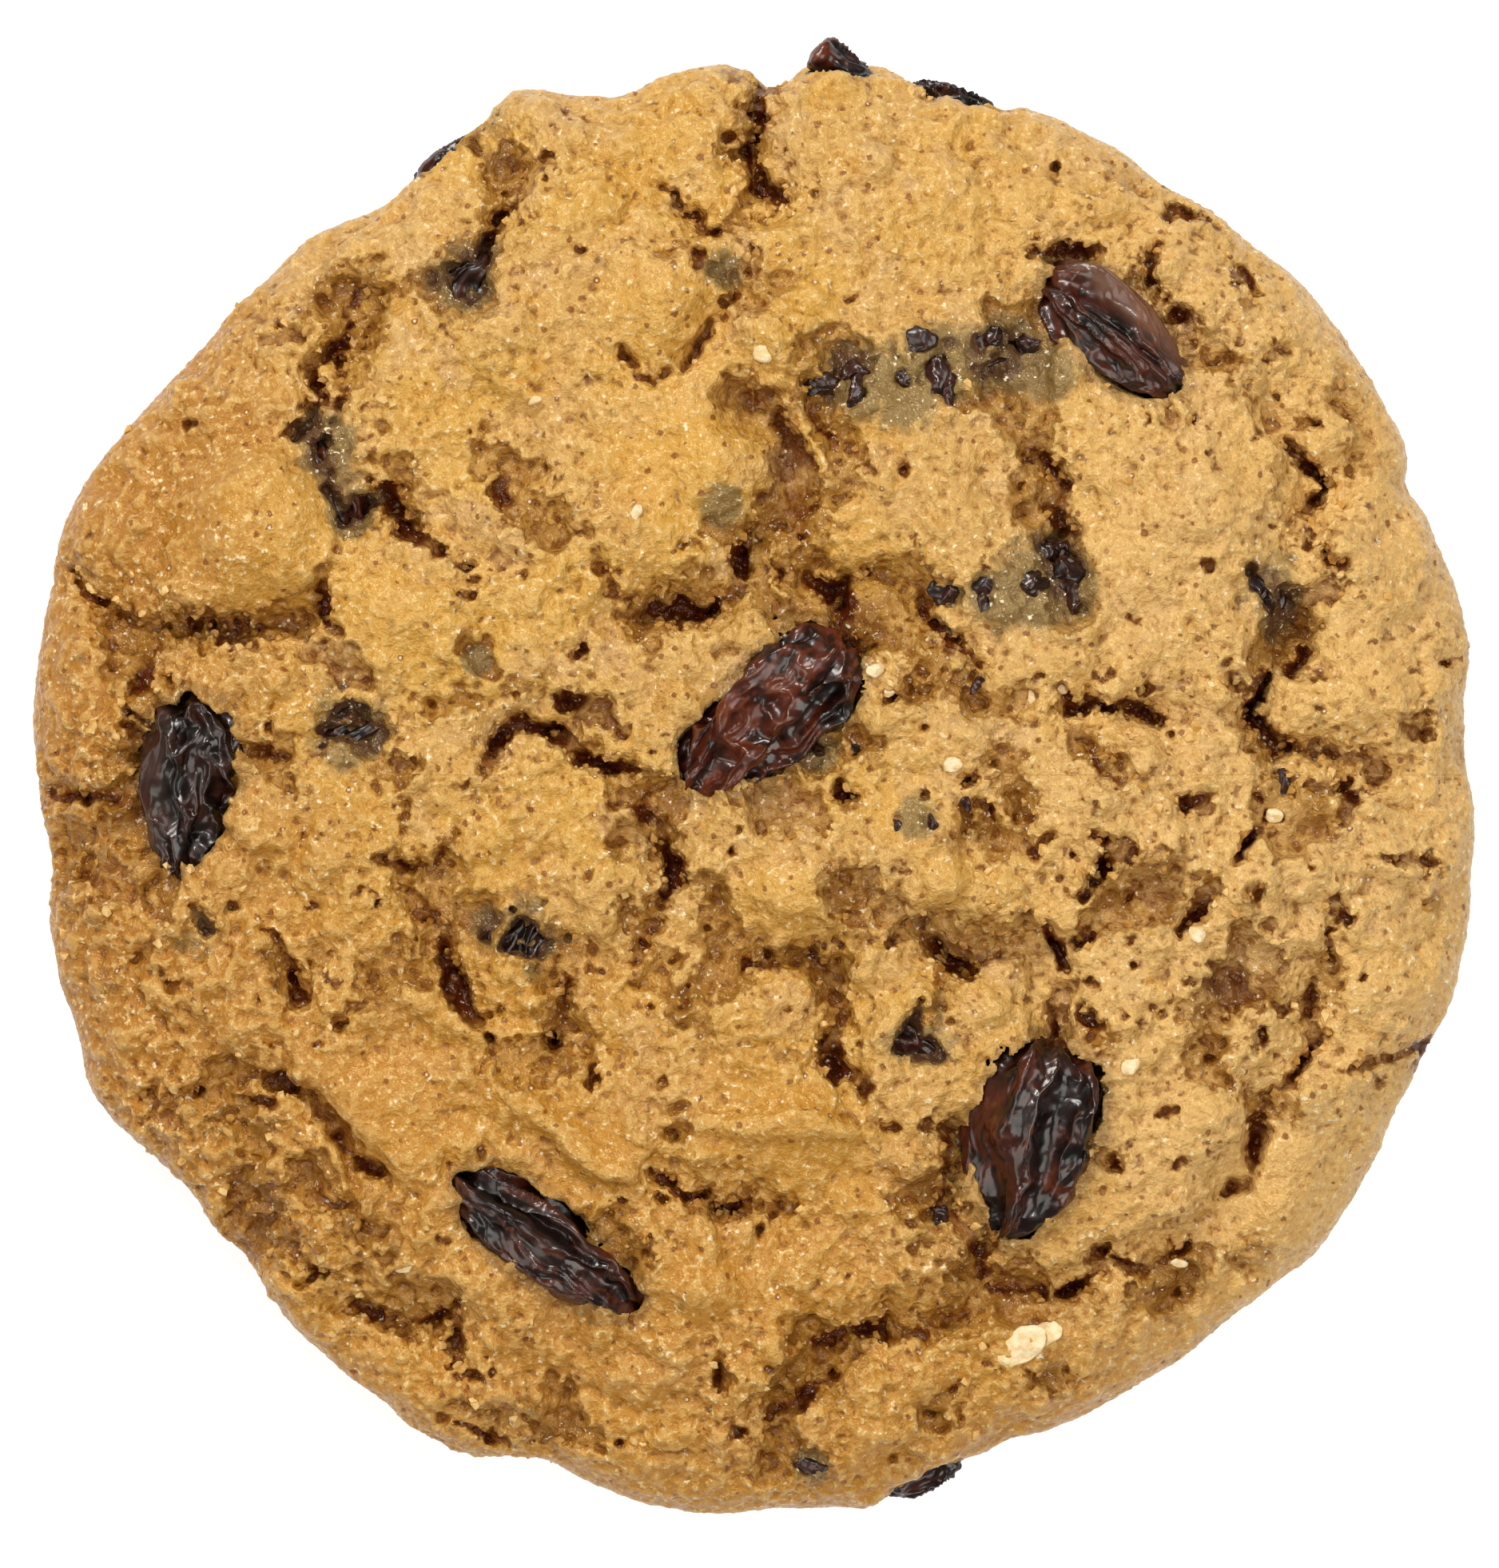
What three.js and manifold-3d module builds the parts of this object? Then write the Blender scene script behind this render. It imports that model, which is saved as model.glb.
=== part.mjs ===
// An oatmeal raisin cookie, lying on its flat baked underside. Millimetres, +Z up.
// The dough is one solid with its cracks, crags and lumps in relief. Each raisin is a solid of its own,
// pressed into a pocket of the dough.

import * as THREE from 'three';
import { ImprovedNoise } from 'three/addons/math/ImprovedNoise.js';
import { mergeVertices } from 'three/addons/utils/BufferGeometryUtils.js';
import Module from 'manifold-3d';

// ---- Driving dimensions ----

const radius = 42.0; // mean radius of the outline
const thickness = 12.0; // height of the middle, before its relief
const rimHeight = 4.3; // height of the widest line above the underside
const footInset = 3.8; // the flat underside ends this far inside the widest line
const ringStep = 1.6; // distance between two rings of the surface
const pocketGap = 0.3; // free space between a raisin and its pocket

const degree = Math.PI / 180;
const { lerp, smoothstep } = THREE.MathUtils;
const grain = new ImprovedNoise();

// ---- Outline ----

// The dough spread unevenly in the oven: angle and spread in degrees, out in mm beyond the mean radius.
const edgeLobes = [
  { at: 13, spread: 6, out: 0.5 },
  { at: 38, spread: 11, out: 1.1 },
  { at: 63, spread: 6, out: 0.5 },
  { at: 82, spread: 3.5, out: 0.5 },
  { at: 101, spread: 3.6, out: -1.6 },
  { at: 109, spread: 2.4, out: 0.8 },
  { at: 122, spread: 4.6, out: -2.0 },
  { at: 139, spread: 8, out: -1.5 },
  { at: 158, spread: 8, out: 0.6 },
  { at: 184, spread: 5, out: -0.7 },
  { at: 206, spread: 4, out: 0.8 },
  { at: 221, spread: 8, out: -1.1 },
  { at: 246, spread: 4, out: 0.7 },
  { at: 267, spread: 7, out: 1.1 },
  { at: 282, spread: 4, out: 1.1 },
  { at: 325, spread: 11, out: 1.2 },
  { at: 346, spread: 4, out: 0.6 },
];

// Short splits where the rim tore open.
const edgeSplits = [
  { at: 23.8, spread: 1, out: -1.2 },
  { at: 55, spread: 1.5, out: -0.8 },
  { at: 88, spread: 1.5, out: -0.8 },
  { at: 215, spread: 2, out: -0.6 },
  { at: 252, spread: 1.6, out: -0.8 },
  { at: 291.5, spread: 1.2, out: -0.7 },
];

function outlineRadius(angle) {
  let out = radius;
  for (const lobe of [...edgeLobes, ...edgeSplits]) {
    const turned = angle / degree - lobe.at;
    const off = turned - 360 * Math.round(turned / 360);
    out += lobe.out * Math.exp(-((off / lobe.spread) ** 2) / 2);
  }
  return out;
}

// ---- Relief of the dough ----

// Cracks between the crags: a route in plan, with the depth and half the width of the groove.
const cracks = [
  { deep: 2.2, half: 1.5, route: [[1.3, 42], [0.6, 37.5], [-0.3, 36.4], [0.7, 34.7], [2.1, 33]] },
  { deep: 2.0, half: 1.5, route: [[-14.7, 37], [-13.8, 34.7], [-15, 30.7], [-16.3, 27]] },
  { deep: 1.6, half: 1.3, route: [[-5.1, 33.9], [-2.6, 31.7], [0, 31.6], [-1.4, 27.4], [-3.3, 24.1], [-7.4, 24]] },
  { deep: 2.0, half: 1.6, route: [[-22.5, 28.3], [-23.1, 24.8], [-25, 23], [-26.2, 19.6], [-23.3, 14.8]] },
  { deep: 1.7, half: 1.4, route: [[-23.3, 14.8], [-20.7, 16.5], [-18.5, 13.5], [-15.5, 12.2]] },
  { deep: 2.2, half: 2.0, route: [[-0.8, 22.3], [1.5, 19.8], [2.4, 17.3], [0.4, 14.2], [-1.8, 9.9], [-8.4, 9.4]] },
  { deep: 2.0, half: 1.4, route: [[0.6, 11.9], [4.7, 11.1], [5.5, 9.6], [6.5, 6.6]] },
  { deep: 2.0, half: 1.5, route: [[-15.3, 1], [-13.3, 3.3], [-10.5, 2.6], [-7.7, 0.3], [-5.1, -3.7], [-4.1, -5.7]] },
  { deep: 1.8, half: 1.4, route: [[-4.1, -5.7], [-5.9, -8.6], [-10.3, -11.4], [-11.4, -15.2], [-11, -17.2]] },
  { deep: 1.6, half: 1.4, route: [[16.1, 18.7], [17.8, 16.9], [18.2, 14.2], [13.5, 6.4], [8.5, 11.7]] },
  { deep: 1.7, half: 1.4, route: [[17.4, 5.3], [18.9, 3.7], [24.7, 3.6], [28.5, 3.5]] },
  { deep: 2.6, half: 2.0, route: [[30.3, 22], [33.5, 17.2], [31.5, 14.2], [31.1, 10], [32.3, 6.7], [30, 5.8]] },
  { deep: 2.8, half: 2.0, route: [[30, 5.8], [28.5, 3.5], [31, 1.6], [33.6, 1.5], [37, -0.2]] },
  { deep: 2.2, half: 1.6, route: [[32.8, -12.3], [32.3, -16.4], [29.3, -19.2], [29.3, -22.5], [25.4, -27.2]] },
  { deep: 1.8, half: 1.5, route: [[25.4, -27.2], [20.7, -27.7], [18.7, -29.5], [14.3, -29.3], [11, -24.5], [11.3, -20]] },
  { deep: 2.3, half: 2.0, route: [[9.1, -8.3], [13.1, -10.6], [17.6, -9.4], [17.3, -14]] },
  { deep: 1.8, half: 1.5, route: [[0, -10.5], [3.9, -10.9], [5, -13.9], [4.7, -16.4], [6.9, -18.4]] },
  { deep: 1.5, half: 1.3, route: [[-20.5, -6], [-17.8, -8.8], [-16.3, -12.3], [-14.5, -16.4]] },
  { deep: 2.0, half: 1.5, route: [[-39.5, 11.5], [-35.9, 8.9], [-31.7, 8.2], [-24.8, 9.4]] },
  { deep: 1.5, half: 1.3, route: [[-27.7, -9], [-26.6, -10.6], [-25.4, -13.3]] },
  { deep: 1.6, half: 1.4, route: [[-28.3, -17.2], [-25.3, -18.4], [-23.5, -21.9], [-20.5, -23.8]] },
  { deep: 1.8, half: 1.5, route: [[-22.8, -30.8], [-20, -32.6], [-16.8, -30.8], [-17.3, -34.2]] },
  { deep: 1.6, half: 1.4, route: [[-5.4, -22.7], [-1.8, -24.7], [2.5, -25]] },
  { deep: 2.0, half: 1.5, route: [[1.1, -37.4], [4.5, -35.1], [4, -33.1], [8.7, -31.7], [13.1, -31.1]] },
];

// Lumps of dough and oats that stand above the rest, each a rounded mound.
const lumps = [
  { x: -5.1, y: 27.1, wide: 4.2, high: 1.2 },
  { x: -3.7, y: 19.2, wide: 5, high: 0.8 },
  { x: -28.5, y: 14.5, wide: 5.5, high: 0.9 },
  { x: -20.4, y: 9, wide: 4.5, high: 0.8 },
  { x: 3.3, y: -6, wide: 3.5, high: 1.1 },
  { x: 11.2, y: -6, wide: 3, high: 1.0 },
  { x: 2.5, y: -20.3, wide: 5, high: 0.9 },
  { x: -7, y: -21.8, wide: 3.5, high: 0.8 },
  { x: -3.2, y: -29.8, wide: 4, high: 0.9 },
  { x: -21.5, y: -20, wide: 5, high: 1.0 },
  { x: 25, y: 13.5, wide: 6, high: 0.8 },
  { x: 30.8, y: -23.7, wide: 4, high: 0.7 },
  { x: 22, y: -3, wide: 5, high: 0.6 },
];

const crumbScale = 0.42; // waves per mm of the small crags
const crumbHigh = 0.35;
const clodScale = 0.13; // waves per mm of the broad crags
const clodHigh = 0.7;
const raggedScale = 0.55; // waves per mm of the torn edges of the cracks
const ragged = 0.9;
const drawn = ringStep * 0.4; // how far a point of the surface moves to lie in a crack

for (const crack of cracks) {
  const points = crack.route.map(([x, y]) => new THREE.Vector3(x, y, 0));
  crack.pieces = points.slice(1).map((end, i) => new THREE.Line3(points[i], end));
}

// A place in plan, moved a little to and fro, so that what is measured from it has torn edges.
function torn(x, y) {
  return new THREE.Vector3(
    x + ragged * grain.noise(x * raggedScale, y * raggedScale, 1.3),
    y + ragged * grain.noise(x * raggedScale, y * raggedScale, 5.9),
    0,
  );
}

// The nearest point on the middle line of a crack.
function nearestOn(crack, point) {
  const found = crack.pieces.map((piece) => piece.closestPointToPoint(point, true, new THREE.Vector3()));
  return found.sort((a, b) => a.distanceTo(point) - b.distanceTo(point))[0];
}

// Moves a place that is close to a crack onto its middle line, which keeps the groove sharp.
function drawnToCrack(x, y) {
  const point = torn(x, y);
  const offsets = cracks.map((crack) => nearestOn(crack, point).sub(point));
  const least = offsets.sort((a, b) => a.length() - b.length())[0];
  return least.length() < drawn ? [x + least.x, y + least.y] : [x, y];
}

// Height of the dough's relief over its smooth form at a place in plan.
function relief(x, y) {
  let high = clodHigh * grain.noise(x * clodScale, y * clodScale, 3.1);
  high += crumbHigh * grain.noise(x * crumbScale, y * crumbScale, 7.7);
  for (const lump of lumps) {
    const off = Math.hypot(x - lump.x, y - lump.y) / lump.wide;
    high += lump.high * (1 - smoothstep(off, 0.2, 1.15));
  }
  const point = torn(x, y);
  let groove = 0;
  for (const crack of cracks) {
    const off = nearestOn(crack, point).distanceTo(point) / crack.half;
    groove = Math.max(groove, crack.deep * (1 - smoothstep(off, 0.15, 1)));
  }
  for (const pit of pits) {
    const off = Math.hypot(point.x - pit.x, point.y - pit.y) / pit.wide;
    groove = Math.max(groove, pit.deep * (1 - smoothstep(off, 0.35, 1)));
  }
  return high - groove;
}

// ---- Raisins ----

// Each raisin: its place in plan, the height of its top over the dough's smooth form there, its size,
// its turn in degrees, its count of long folds, and how much narrower its far end is.
const raisins = [
  { x: 21, y: 25.5, over: 0.9, long: 11.2, wide: 5.7, deep: 5, turn: -44, folds: 5, taper: 0.1 },
  { x: 0.8, y: 3.5, over: 1.1, long: 13.4, wide: 6.5, deep: 5.4, turn: 44, folds: 6, taper: -0.15 },
  { x: -32.3, y: -0.6, over: 0.6, long: 11.8, wide: 5.8, deep: 4.6, turn: 86, folds: 5, taper: -0.25 },
  { x: 16.2, y: -21.1, over: 1.2, long: 12.4, wide: 7.4, deep: 5.6, turn: 74, folds: 5, taper: -0.2 },
  { x: -11.6, y: -26.7, over: 0.8, long: 13.8, wide: 5, deep: 4.6, turn: -35, folds: 4, taper: 0.05 },
];

// Raisins baked into the side, which stick out of the rim and show as slivers from above.
const rimRaisins = [
  { x: -15.6, y: 36.4, over: -1.9, long: 9, wide: 4.6, deep: 3.6, turn: 24, folds: 4, taper: 0 },
  { x: 5.2, y: 40.6, over: -0.6, long: 6, wide: 4.8, deep: 3.6, turn: -8, folds: 4, taper: 0.1 },
  { x: 11.9, y: 38.9, over: -1.5, long: 6.5, wide: 4.4, deep: 3.4, turn: -20, folds: 4, taper: 0 },
  { x: 9.6, y: -40.2, over: -1.1, long: 6, wide: 4.6, deep: 3.6, turn: 14, folds: 4, taper: 0.1 },
];

// Raisins sunk in the dough, whose tops show at the bottom of a pit.
const sunkRaisins = [
  { x: -22.8, y: 2.6, over: -1.1, long: 5.6, wide: 4.6, deep: 3.6, turn: 20, folds: 4, taper: 0.2 },
  { x: -13, y: -9.3, over: -1.1, long: 5.8, wide: 4.8, deep: 3.6, turn: 60, folds: 4, taper: 0.2 },
  { x: 9.7, y: -15.3, over: -1.1, long: 5.8, wide: 4.8, deep: 3.6, turn: -40, folds: 4, taper: 0.2 },
  { x: -24.1, y: 17, over: -1.2, long: 7.4, wide: 4, deep: 3.6, turn: -72, folds: 4, taper: 0 },
  { x: -16.5, y: 28.4, over: -1.2, long: 5, wide: 3.8, deep: 3.2, turn: 60, folds: 4, taper: 0 },
  { x: 29.4, y: 10.6, over: -1.2, long: 5, wide: 3.6, deep: 3.2, turn: 80, folds: 4, taper: 0 },
  { x: -31.6, y: -8.7, over: -1, long: 4.6, wide: 3.6, deep: 3.2, turn: 70, folds: 4, taper: 0 },
  { x: 9.6, y: 23.6, over: -0.9, long: 13, wide: 5, deep: 3.8, turn: 12, folds: 5, taper: 0 },
  { x: 15.2, y: 11.4, over: -0.9, long: 8.8, wide: 4.6, deep: 3.6, turn: 4, folds: 5, taper: 0 },
];

const pitDepth = 1.3;
const pits = sunkRaisins.map((raisin) => ({
  x: raisin.x,
  y: raisin.y,
  wide: raisin.wide / 2,
  deep: pitDepth,
}));

const foldDepth = 0.12; // depth of a raisin's folds, as a share of its radius
const foldTwist = 1.6; // how far the folds wind round the raisin, in radians
const openPocket = 2.2; // how many times higher the pocket of a raisin in full view is than the raisin

// A raisin lying along X: an egg shape creased by long winding folds. Grown by a gap and with its upper
// half stretched upwards, it is the raisin's open pocket.
function raisinGeometry({ long, wide, deep, folds, taper }, facets, grow = 0, open = 1) {
  const egg = new THREE.IcosahedronGeometry(1, facets);
  const place = egg.getAttribute('position');
  const way = new THREE.Vector3();
  for (let i = 0; i < place.count; i++) {
    way.fromBufferAttribute(place, i).normalize();
    const round = Math.atan2(way.z, way.y);
    const crease = Math.cos(folds * round + foldTwist * way.x + long) * (1 - way.x ** 4);
    const dimple = grain.noise(way.x * 2 + long, way.y * 2, way.z * 2 + wide);
    const girth = (1 + foldDepth * (crease + dimple)) * (1 - taper * way.x);
    place.setXYZ(
      i,
      way.x * (long / 2 + grow),
      way.y * (wide / 2 * girth + grow),
      way.z * (deep / 2 * girth + grow) * (way.z > 0 ? open : 1),
    );
  }
  return egg;
}

// ---- Solids ----

const wasm = await Module();
wasm.setup();

function solidOf(geometry) {
  const bare = geometry.clone();
  bare.deleteAttribute('normal');
  bare.deleteAttribute('uv');
  const merged = mergeVertices(bare, 1e-4);
  const vertProperties = merged.getAttribute('position').array;
  const triVerts = new Uint32Array(merged.index.array);
  return new wasm.Manifold(new wasm.Mesh({ numProp: 3, vertProperties, triVerts }));
}

function geometryOf(solid) {
  const { vertProperties, triVerts } = solid.getMesh();
  const geometry = new THREE.BufferGeometry();
  geometry.setAttribute('position', new THREE.BufferAttribute(vertProperties, 3));
  geometry.setIndex(new THREE.BufferAttribute(triVerts, 1));
  geometry.computeVertexNormals();
  return geometry;
}

// Half of the cookie's section, from the middle of its top over the rim to the edge of the flat foot.
const topSection = new THREE.Path()
  .moveTo(0, thickness)
  .bezierCurveTo(radius * 0.55, thickness, radius, thickness * 0.96, radius, rimHeight);
const sideSection = new THREE.Path()
  .moveTo(radius, rimHeight)
  .bezierCurveTo(radius, rimHeight / 3, radius - footInset / 3, 0, radius - footInset, 0);

// Height of the smooth top at a distance from the middle.
function smoothTop(reach) {
  const points = topSection.getPoints(80);
  const next = Math.max(1, points.findIndex((p) => p.x >= reach));
  const [a, b] = [points[next - 1], points[next]];
  return lerp(a.y, b.y, (reach - a.x) / (b.x - a.x));
}

// The dough's surface: rings round the middle, ring k with 6k points as far as the rim, so that all
// triangles have about the same size, and then rings of the same count down the side.
function doughGeometry() {
  const topRings = Math.round(topSection.getLength() / ringStep);
  const sideRings = Math.round(sideSection.getLength() / ringStep);
  const section = [
    ...topSection.getSpacedPoints(topRings),
    ...sideSection.getSpacedPoints(sideRings).slice(1),
  ];
  const places = [];
  const rings = section.map((point, k) => {
    const ring = [];
    const count = Math.max(1, 6 * Math.min(k, topRings));
    const before = section[Math.max(0, k - 1)];
    const after = section[Math.min(section.length - 1, k + 1)];
    const along = new THREE.Vector2().subVectors(after, before).normalize();
    const flat = smoothstep(point.y, 0, rimHeight * 0.6); // the relief ends above the foot
    for (let i = 0; i < count; i++) {
      const angle = (i / count) * 2 * Math.PI;
      const share = point.x / radius;
      const reach = point.x + (outlineRadius(angle) - radius) * share ** 3;
      const plan = [reach * Math.cos(angle), reach * Math.sin(angle)];
      const [x, y] = point.x < radius - rimHeight ? drawnToCrack(...plan) : plan;
      const high = relief(x, y) * flat;
      const outward = 1 - along.y * high / Math.max(reach, ringStep);
      ring.push(places.length / 3);
      places.push(x * outward, y * outward, point.y + along.x * high);
    }
    return ring;
  });

  const faces = [];
  rings.slice(1).forEach((outer, k) => {
    const inner = rings[k];
    const perSextant = outer.length / 6;
    const growing = outer.length !== inner.length;
    for (let i = 0; i < outer.length; i++) {
      const sextant = Math.floor(i / perSextant);
      const a = growing ? i - sextant : i;
      const innerA = inner[a % inner.length];
      const innerB = inner[(a + 1) % inner.length];
      const outerA = outer[i];
      const outerB = outer[(i + 1) % outer.length];
      faces.push(innerA, outerA, outerB);
      const lastOfSextant = growing && i % perSextant === perSextant - 1;
      if (!lastOfSextant) faces.push(innerA, outerB, innerB);
    }
  });

  const foot = rings[rings.length - 1];
  const footOutline = foot.map((i) => new THREE.Vector2(places[3 * i], places[3 * i + 1]));
  for (const [a, b, c] of THREE.ShapeUtils.triangulateShape(footOutline, [])) {
    faces.push(foot[a], foot[c], foot[b]);
  }

  const geometry = new THREE.BufferGeometry();
  geometry.setAttribute('position', new THREE.Float32BufferAttribute(places, 3));
  geometry.setIndex(faces);
  return geometry;
}

// A rolled oat that lies flat on the dough near the rim.
const oat = { x: 16.2, y: -32.6, long: 3.6, wide: 1.5, thick: 0.7, turn: 34, over: 0.1 };

function oatGeometry() {
  const flake = new THREE.SphereGeometry(0.5, 10, 6);
  flake.scale(oat.long, oat.wide, oat.thick);
  flake.rotateZ(oat.turn * degree);
  const under = smoothTop(Math.hypot(oat.x, oat.y)) + relief(oat.x, oat.y);
  flake.translate(oat.x, oat.y, under + oat.over);
  return flake;
}

// ---- Cookie ----

const doughMaterial = new THREE.MeshStandardMaterial({ color: 0xd1a057, roughness: 0.8, metalness: 0 });
const raisinMaterial = new THREE.MeshStandardMaterial({ color: 0x48281c, roughness: 0.4, metalness: 0 });

const cookie = new THREE.Group();
const pockets = [];

function addRaisin(name, raisin, facets, open) {
  const placed = (geometry) => {
    const top = smoothTop(Math.hypot(raisin.x, raisin.y)) + raisin.over;
    const mesh = new THREE.Mesh(geometry, raisinMaterial.clone());
    mesh.rotation.z = raisin.turn * degree;
    mesh.position.set(raisin.x, raisin.y, top - raisin.deep / 2);
    mesh.updateMatrix();
    return mesh;
  };
  const mesh = placed(raisinGeometry(raisin, facets));
  mesh.name = name;
  cookie.add(mesh);
  const pocket = placed(raisinGeometry(raisin, facets, pocketGap, open));
  pockets.push(pocket.geometry.applyMatrix4(pocket.matrix));
}

raisins.forEach((raisin, i) => addRaisin(`raisin_${i + 1}`, raisin, 3, openPocket));
rimRaisins.forEach((raisin, i) => addRaisin(`rim_raisin_${i + 1}`, raisin, 2, 1));
sunkRaisins.forEach((raisin, i) => addRaisin(`sunk_raisin_${i + 1}`, raisin, 1, 1));

let doughSolid = solidOf(doughGeometry()).add(solidOf(oatGeometry()));
for (const pocket of pockets) doughSolid = doughSolid.subtract(solidOf(pocket));

// A scrap cut loose at a pocket's thin edge is left out.
const bodies = doughSolid.decompose().sort((a, b) => b.volume() - a.volume());
const dough = new THREE.Mesh(geometryOf(bodies[0]), doughMaterial);
dough.name = 'dough';
cookie.add(dough);

// The origin is the middle of the underside.
const middle = new THREE.Box3().setFromObject(cookie).getCenter(new THREE.Vector3());
cookie.position.set(-middle.x, -middle.y, 0);

export default cookie;
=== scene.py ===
import math

import bpy
from mathutils import Matrix, Vector


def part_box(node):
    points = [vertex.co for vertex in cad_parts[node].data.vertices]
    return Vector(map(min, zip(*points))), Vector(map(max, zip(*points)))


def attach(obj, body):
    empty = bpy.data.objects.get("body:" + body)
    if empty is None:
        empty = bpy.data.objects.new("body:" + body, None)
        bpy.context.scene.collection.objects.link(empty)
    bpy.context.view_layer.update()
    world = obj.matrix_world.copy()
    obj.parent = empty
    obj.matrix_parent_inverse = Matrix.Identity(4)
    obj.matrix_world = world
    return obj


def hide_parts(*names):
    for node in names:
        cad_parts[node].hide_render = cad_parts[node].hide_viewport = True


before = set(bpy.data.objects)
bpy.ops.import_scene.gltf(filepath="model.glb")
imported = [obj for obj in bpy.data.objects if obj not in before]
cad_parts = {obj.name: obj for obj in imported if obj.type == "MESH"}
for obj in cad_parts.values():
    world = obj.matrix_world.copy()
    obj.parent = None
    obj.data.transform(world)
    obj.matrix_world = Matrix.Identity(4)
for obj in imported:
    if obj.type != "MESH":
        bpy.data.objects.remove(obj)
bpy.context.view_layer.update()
scene = bpy.context.scene
mm = 0.001
planShift = Vector((-0.17, -0.08, 0)) * mm  # from the plan's zero to the frame's


# Small helpers

def deselectAll():
    bpy.ops.object.select_all(action="DESELECT")


def makeActive(piece):
    deselectAll()
    piece.select_set(True)
    bpy.context.view_layer.objects.active = piece


def applyModifier(piece, kind, **settings):
    makeActive(piece)
    modifier = piece.modifiers.new(kind.title(), kind)
    for name, value in settings.items():
        setattr(modifier, name, value)
    bpy.ops.object.modifier_apply(modifier=modifier.name)


def place(x, y, z=0.0):
    return Vector((x, y, z)) * mm + planShift


def joinPieces(pieces):
    makeActive(pieces[0])
    for piece in pieces:
        piece.select_set(True)
    bpy.ops.object.join()
    return pieces[0]


def copyOfNode(name, pieceName):
    # a merged copy of a CAD node, to shape further
    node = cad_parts[name]
    piece = node.copy()
    piece.data = node.data.copy()
    piece.name = pieceName
    piece.parent = None
    scene.collection.objects.link(piece)
    makeActive(piece)
    bpy.ops.object.mode_set(mode="EDIT")
    bpy.ops.mesh.select_all(action="SELECT")
    bpy.ops.mesh.remove_doubles(threshold=0.001 * mm)
    bpy.ops.object.mode_set(mode="OBJECT")
    return piece


def finishPiece(piece, material, slot, *nodes, crease=180):
    makeActive(piece)
    bpy.ops.object.shade_smooth_by_angle(angle=math.radians(crease))
    piece.data.materials.clear()
    piece.data.materials.append(material)
    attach(piece, "root")
    if nodes:
        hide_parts(*nodes)
    print(piece.name, len(piece.data.polygons), "faces")


# Node trees are written as calls: every socket takes another node's output or a number

def setSocket(tree, socket, value):
    if isinstance(value, bpy.types.NodeSocket):
        tree.links.new(value, socket)
    else:
        socket.default_value = value


def addNode(tree, kind, inputs=None, **settings):
    node = tree.nodes.new(kind)
    for name, value in settings.items():
        setattr(node, name, value)
    for key, value in (inputs or {}).items():
        setSocket(tree, node.inputs[key], value)
    return node


def calc(tree, operation, *values):
    return addNode(tree, "ShaderNodeMath", dict(enumerate(values)), operation=operation).outputs[0]


def chain(tree, operation, values):
    result = values[0]
    for value in values[1:]:
        result = calc(tree, operation, result, value)
    return result


def total(tree, *values):
    return chain(tree, "ADD", values)


def times(tree, *values):
    return chain(tree, "MULTIPLY", values)


def highest(tree, *values):
    return chain(tree, "MAXIMUM", values)


def vectorCalc(tree, operation, a, b=None, scale=None):
    inputs = {0: a}
    if b is not None:
        inputs[1] = b
    if scale is not None:
        inputs["Scale"] = scale
    node = addNode(tree, "ShaderNodeVectorMath", inputs, operation=operation)
    return node.outputs["Value" if operation in ("LENGTH", "DISTANCE", "DOT_PRODUCT") else "Vector"]


def push(tree, at, direction, far):
    # a place or offset, moved that far along a direction
    return vectorCalc(tree, "ADD", at, vectorCalc(tree, "SCALE", direction, scale=far))


def axis(tree, vector, name):
    return addNode(tree, "ShaderNodeSeparateXYZ", {0: vector}).outputs[name]


def upright(tree, height):
    return addNode(tree, "ShaderNodeCombineXYZ", {2: height}).outputs[0]


def flatten(tree, at):
    return vectorCalc(tree, "MULTIPLY", at, (1, 1, 0))


def ramp(tree, value, low, high, fromZero=0.0, toOne=1.0, smooth=True):
    inputs = {"Value": value, "From Min": low, "From Max": high, "To Min": fromZero, "To Max": toOne}
    kind = "SMOOTHSTEP" if smooth else "LINEAR"
    return addNode(tree, "ShaderNodeMapRange", inputs, interpolation_type=kind).outputs[0]


def noise(tree, at, size, detail=2.0, roughness=0.5, colour=False):
    inputs = {"Vector": at, "Scale": 1 / size, "Detail": detail, "Roughness": roughness}
    node = addNode(tree, "ShaderNodeTexNoise", inputs)
    return node.outputs["Color" if colour else "Fac"]


noiseSpread = 0.22  # how far noise mostly goes from its mean of a half


def swing(tree, at, size, reach, detail=2.0, roughness=0.5):
    # a number that goes up and down by about the reach
    off = calc(tree, "SUBTRACT", noise(tree, at, size, detail, roughness), 0.5)
    return times(tree, off, reach / noiseSpread)


def shiver(tree, at, size, reach, detail=2.0, roughness=0.5):
    # a vector that wanders to and fro by about the reach, for ragged edges
    colour = noise(tree, at, size, detail, roughness, colour=True)
    off = vectorCalc(tree, "SUBTRACT", colour, (0.5, 0.5, 0.5))
    return vectorCalc(tree, "SCALE", off, scale=reach / noiseSpread)


def billow(tree, at, size, detail=1.0, roughness=0.5):
    # rounded lumps with sharp creases between them, mostly 0 to 1
    return calc(tree, "MINIMUM", calc(tree, "ABSOLUTE", swing(tree, at, size, 1.0, detail, roughness)), 1.2)


def shapeTree(name):
    # a geometry tree, its mesh as it comes in, and where its points are
    tree = bpy.data.node_groups.new(name, "GeometryNodeTree")
    for way in ("INPUT", "OUTPUT"):
        tree.interface.new_socket("Geometry", in_out=way, socket_type="NodeSocketGeometry")
    geometry = tree.nodes.new("NodeGroupInput").outputs[0]
    tree.nodes.new("NodeGroupOutput")
    return tree, geometry, pointPlaces(tree)


def pointPlaces(tree):
    return addNode(tree, "GeometryNodeInputPosition").outputs[0]


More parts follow.
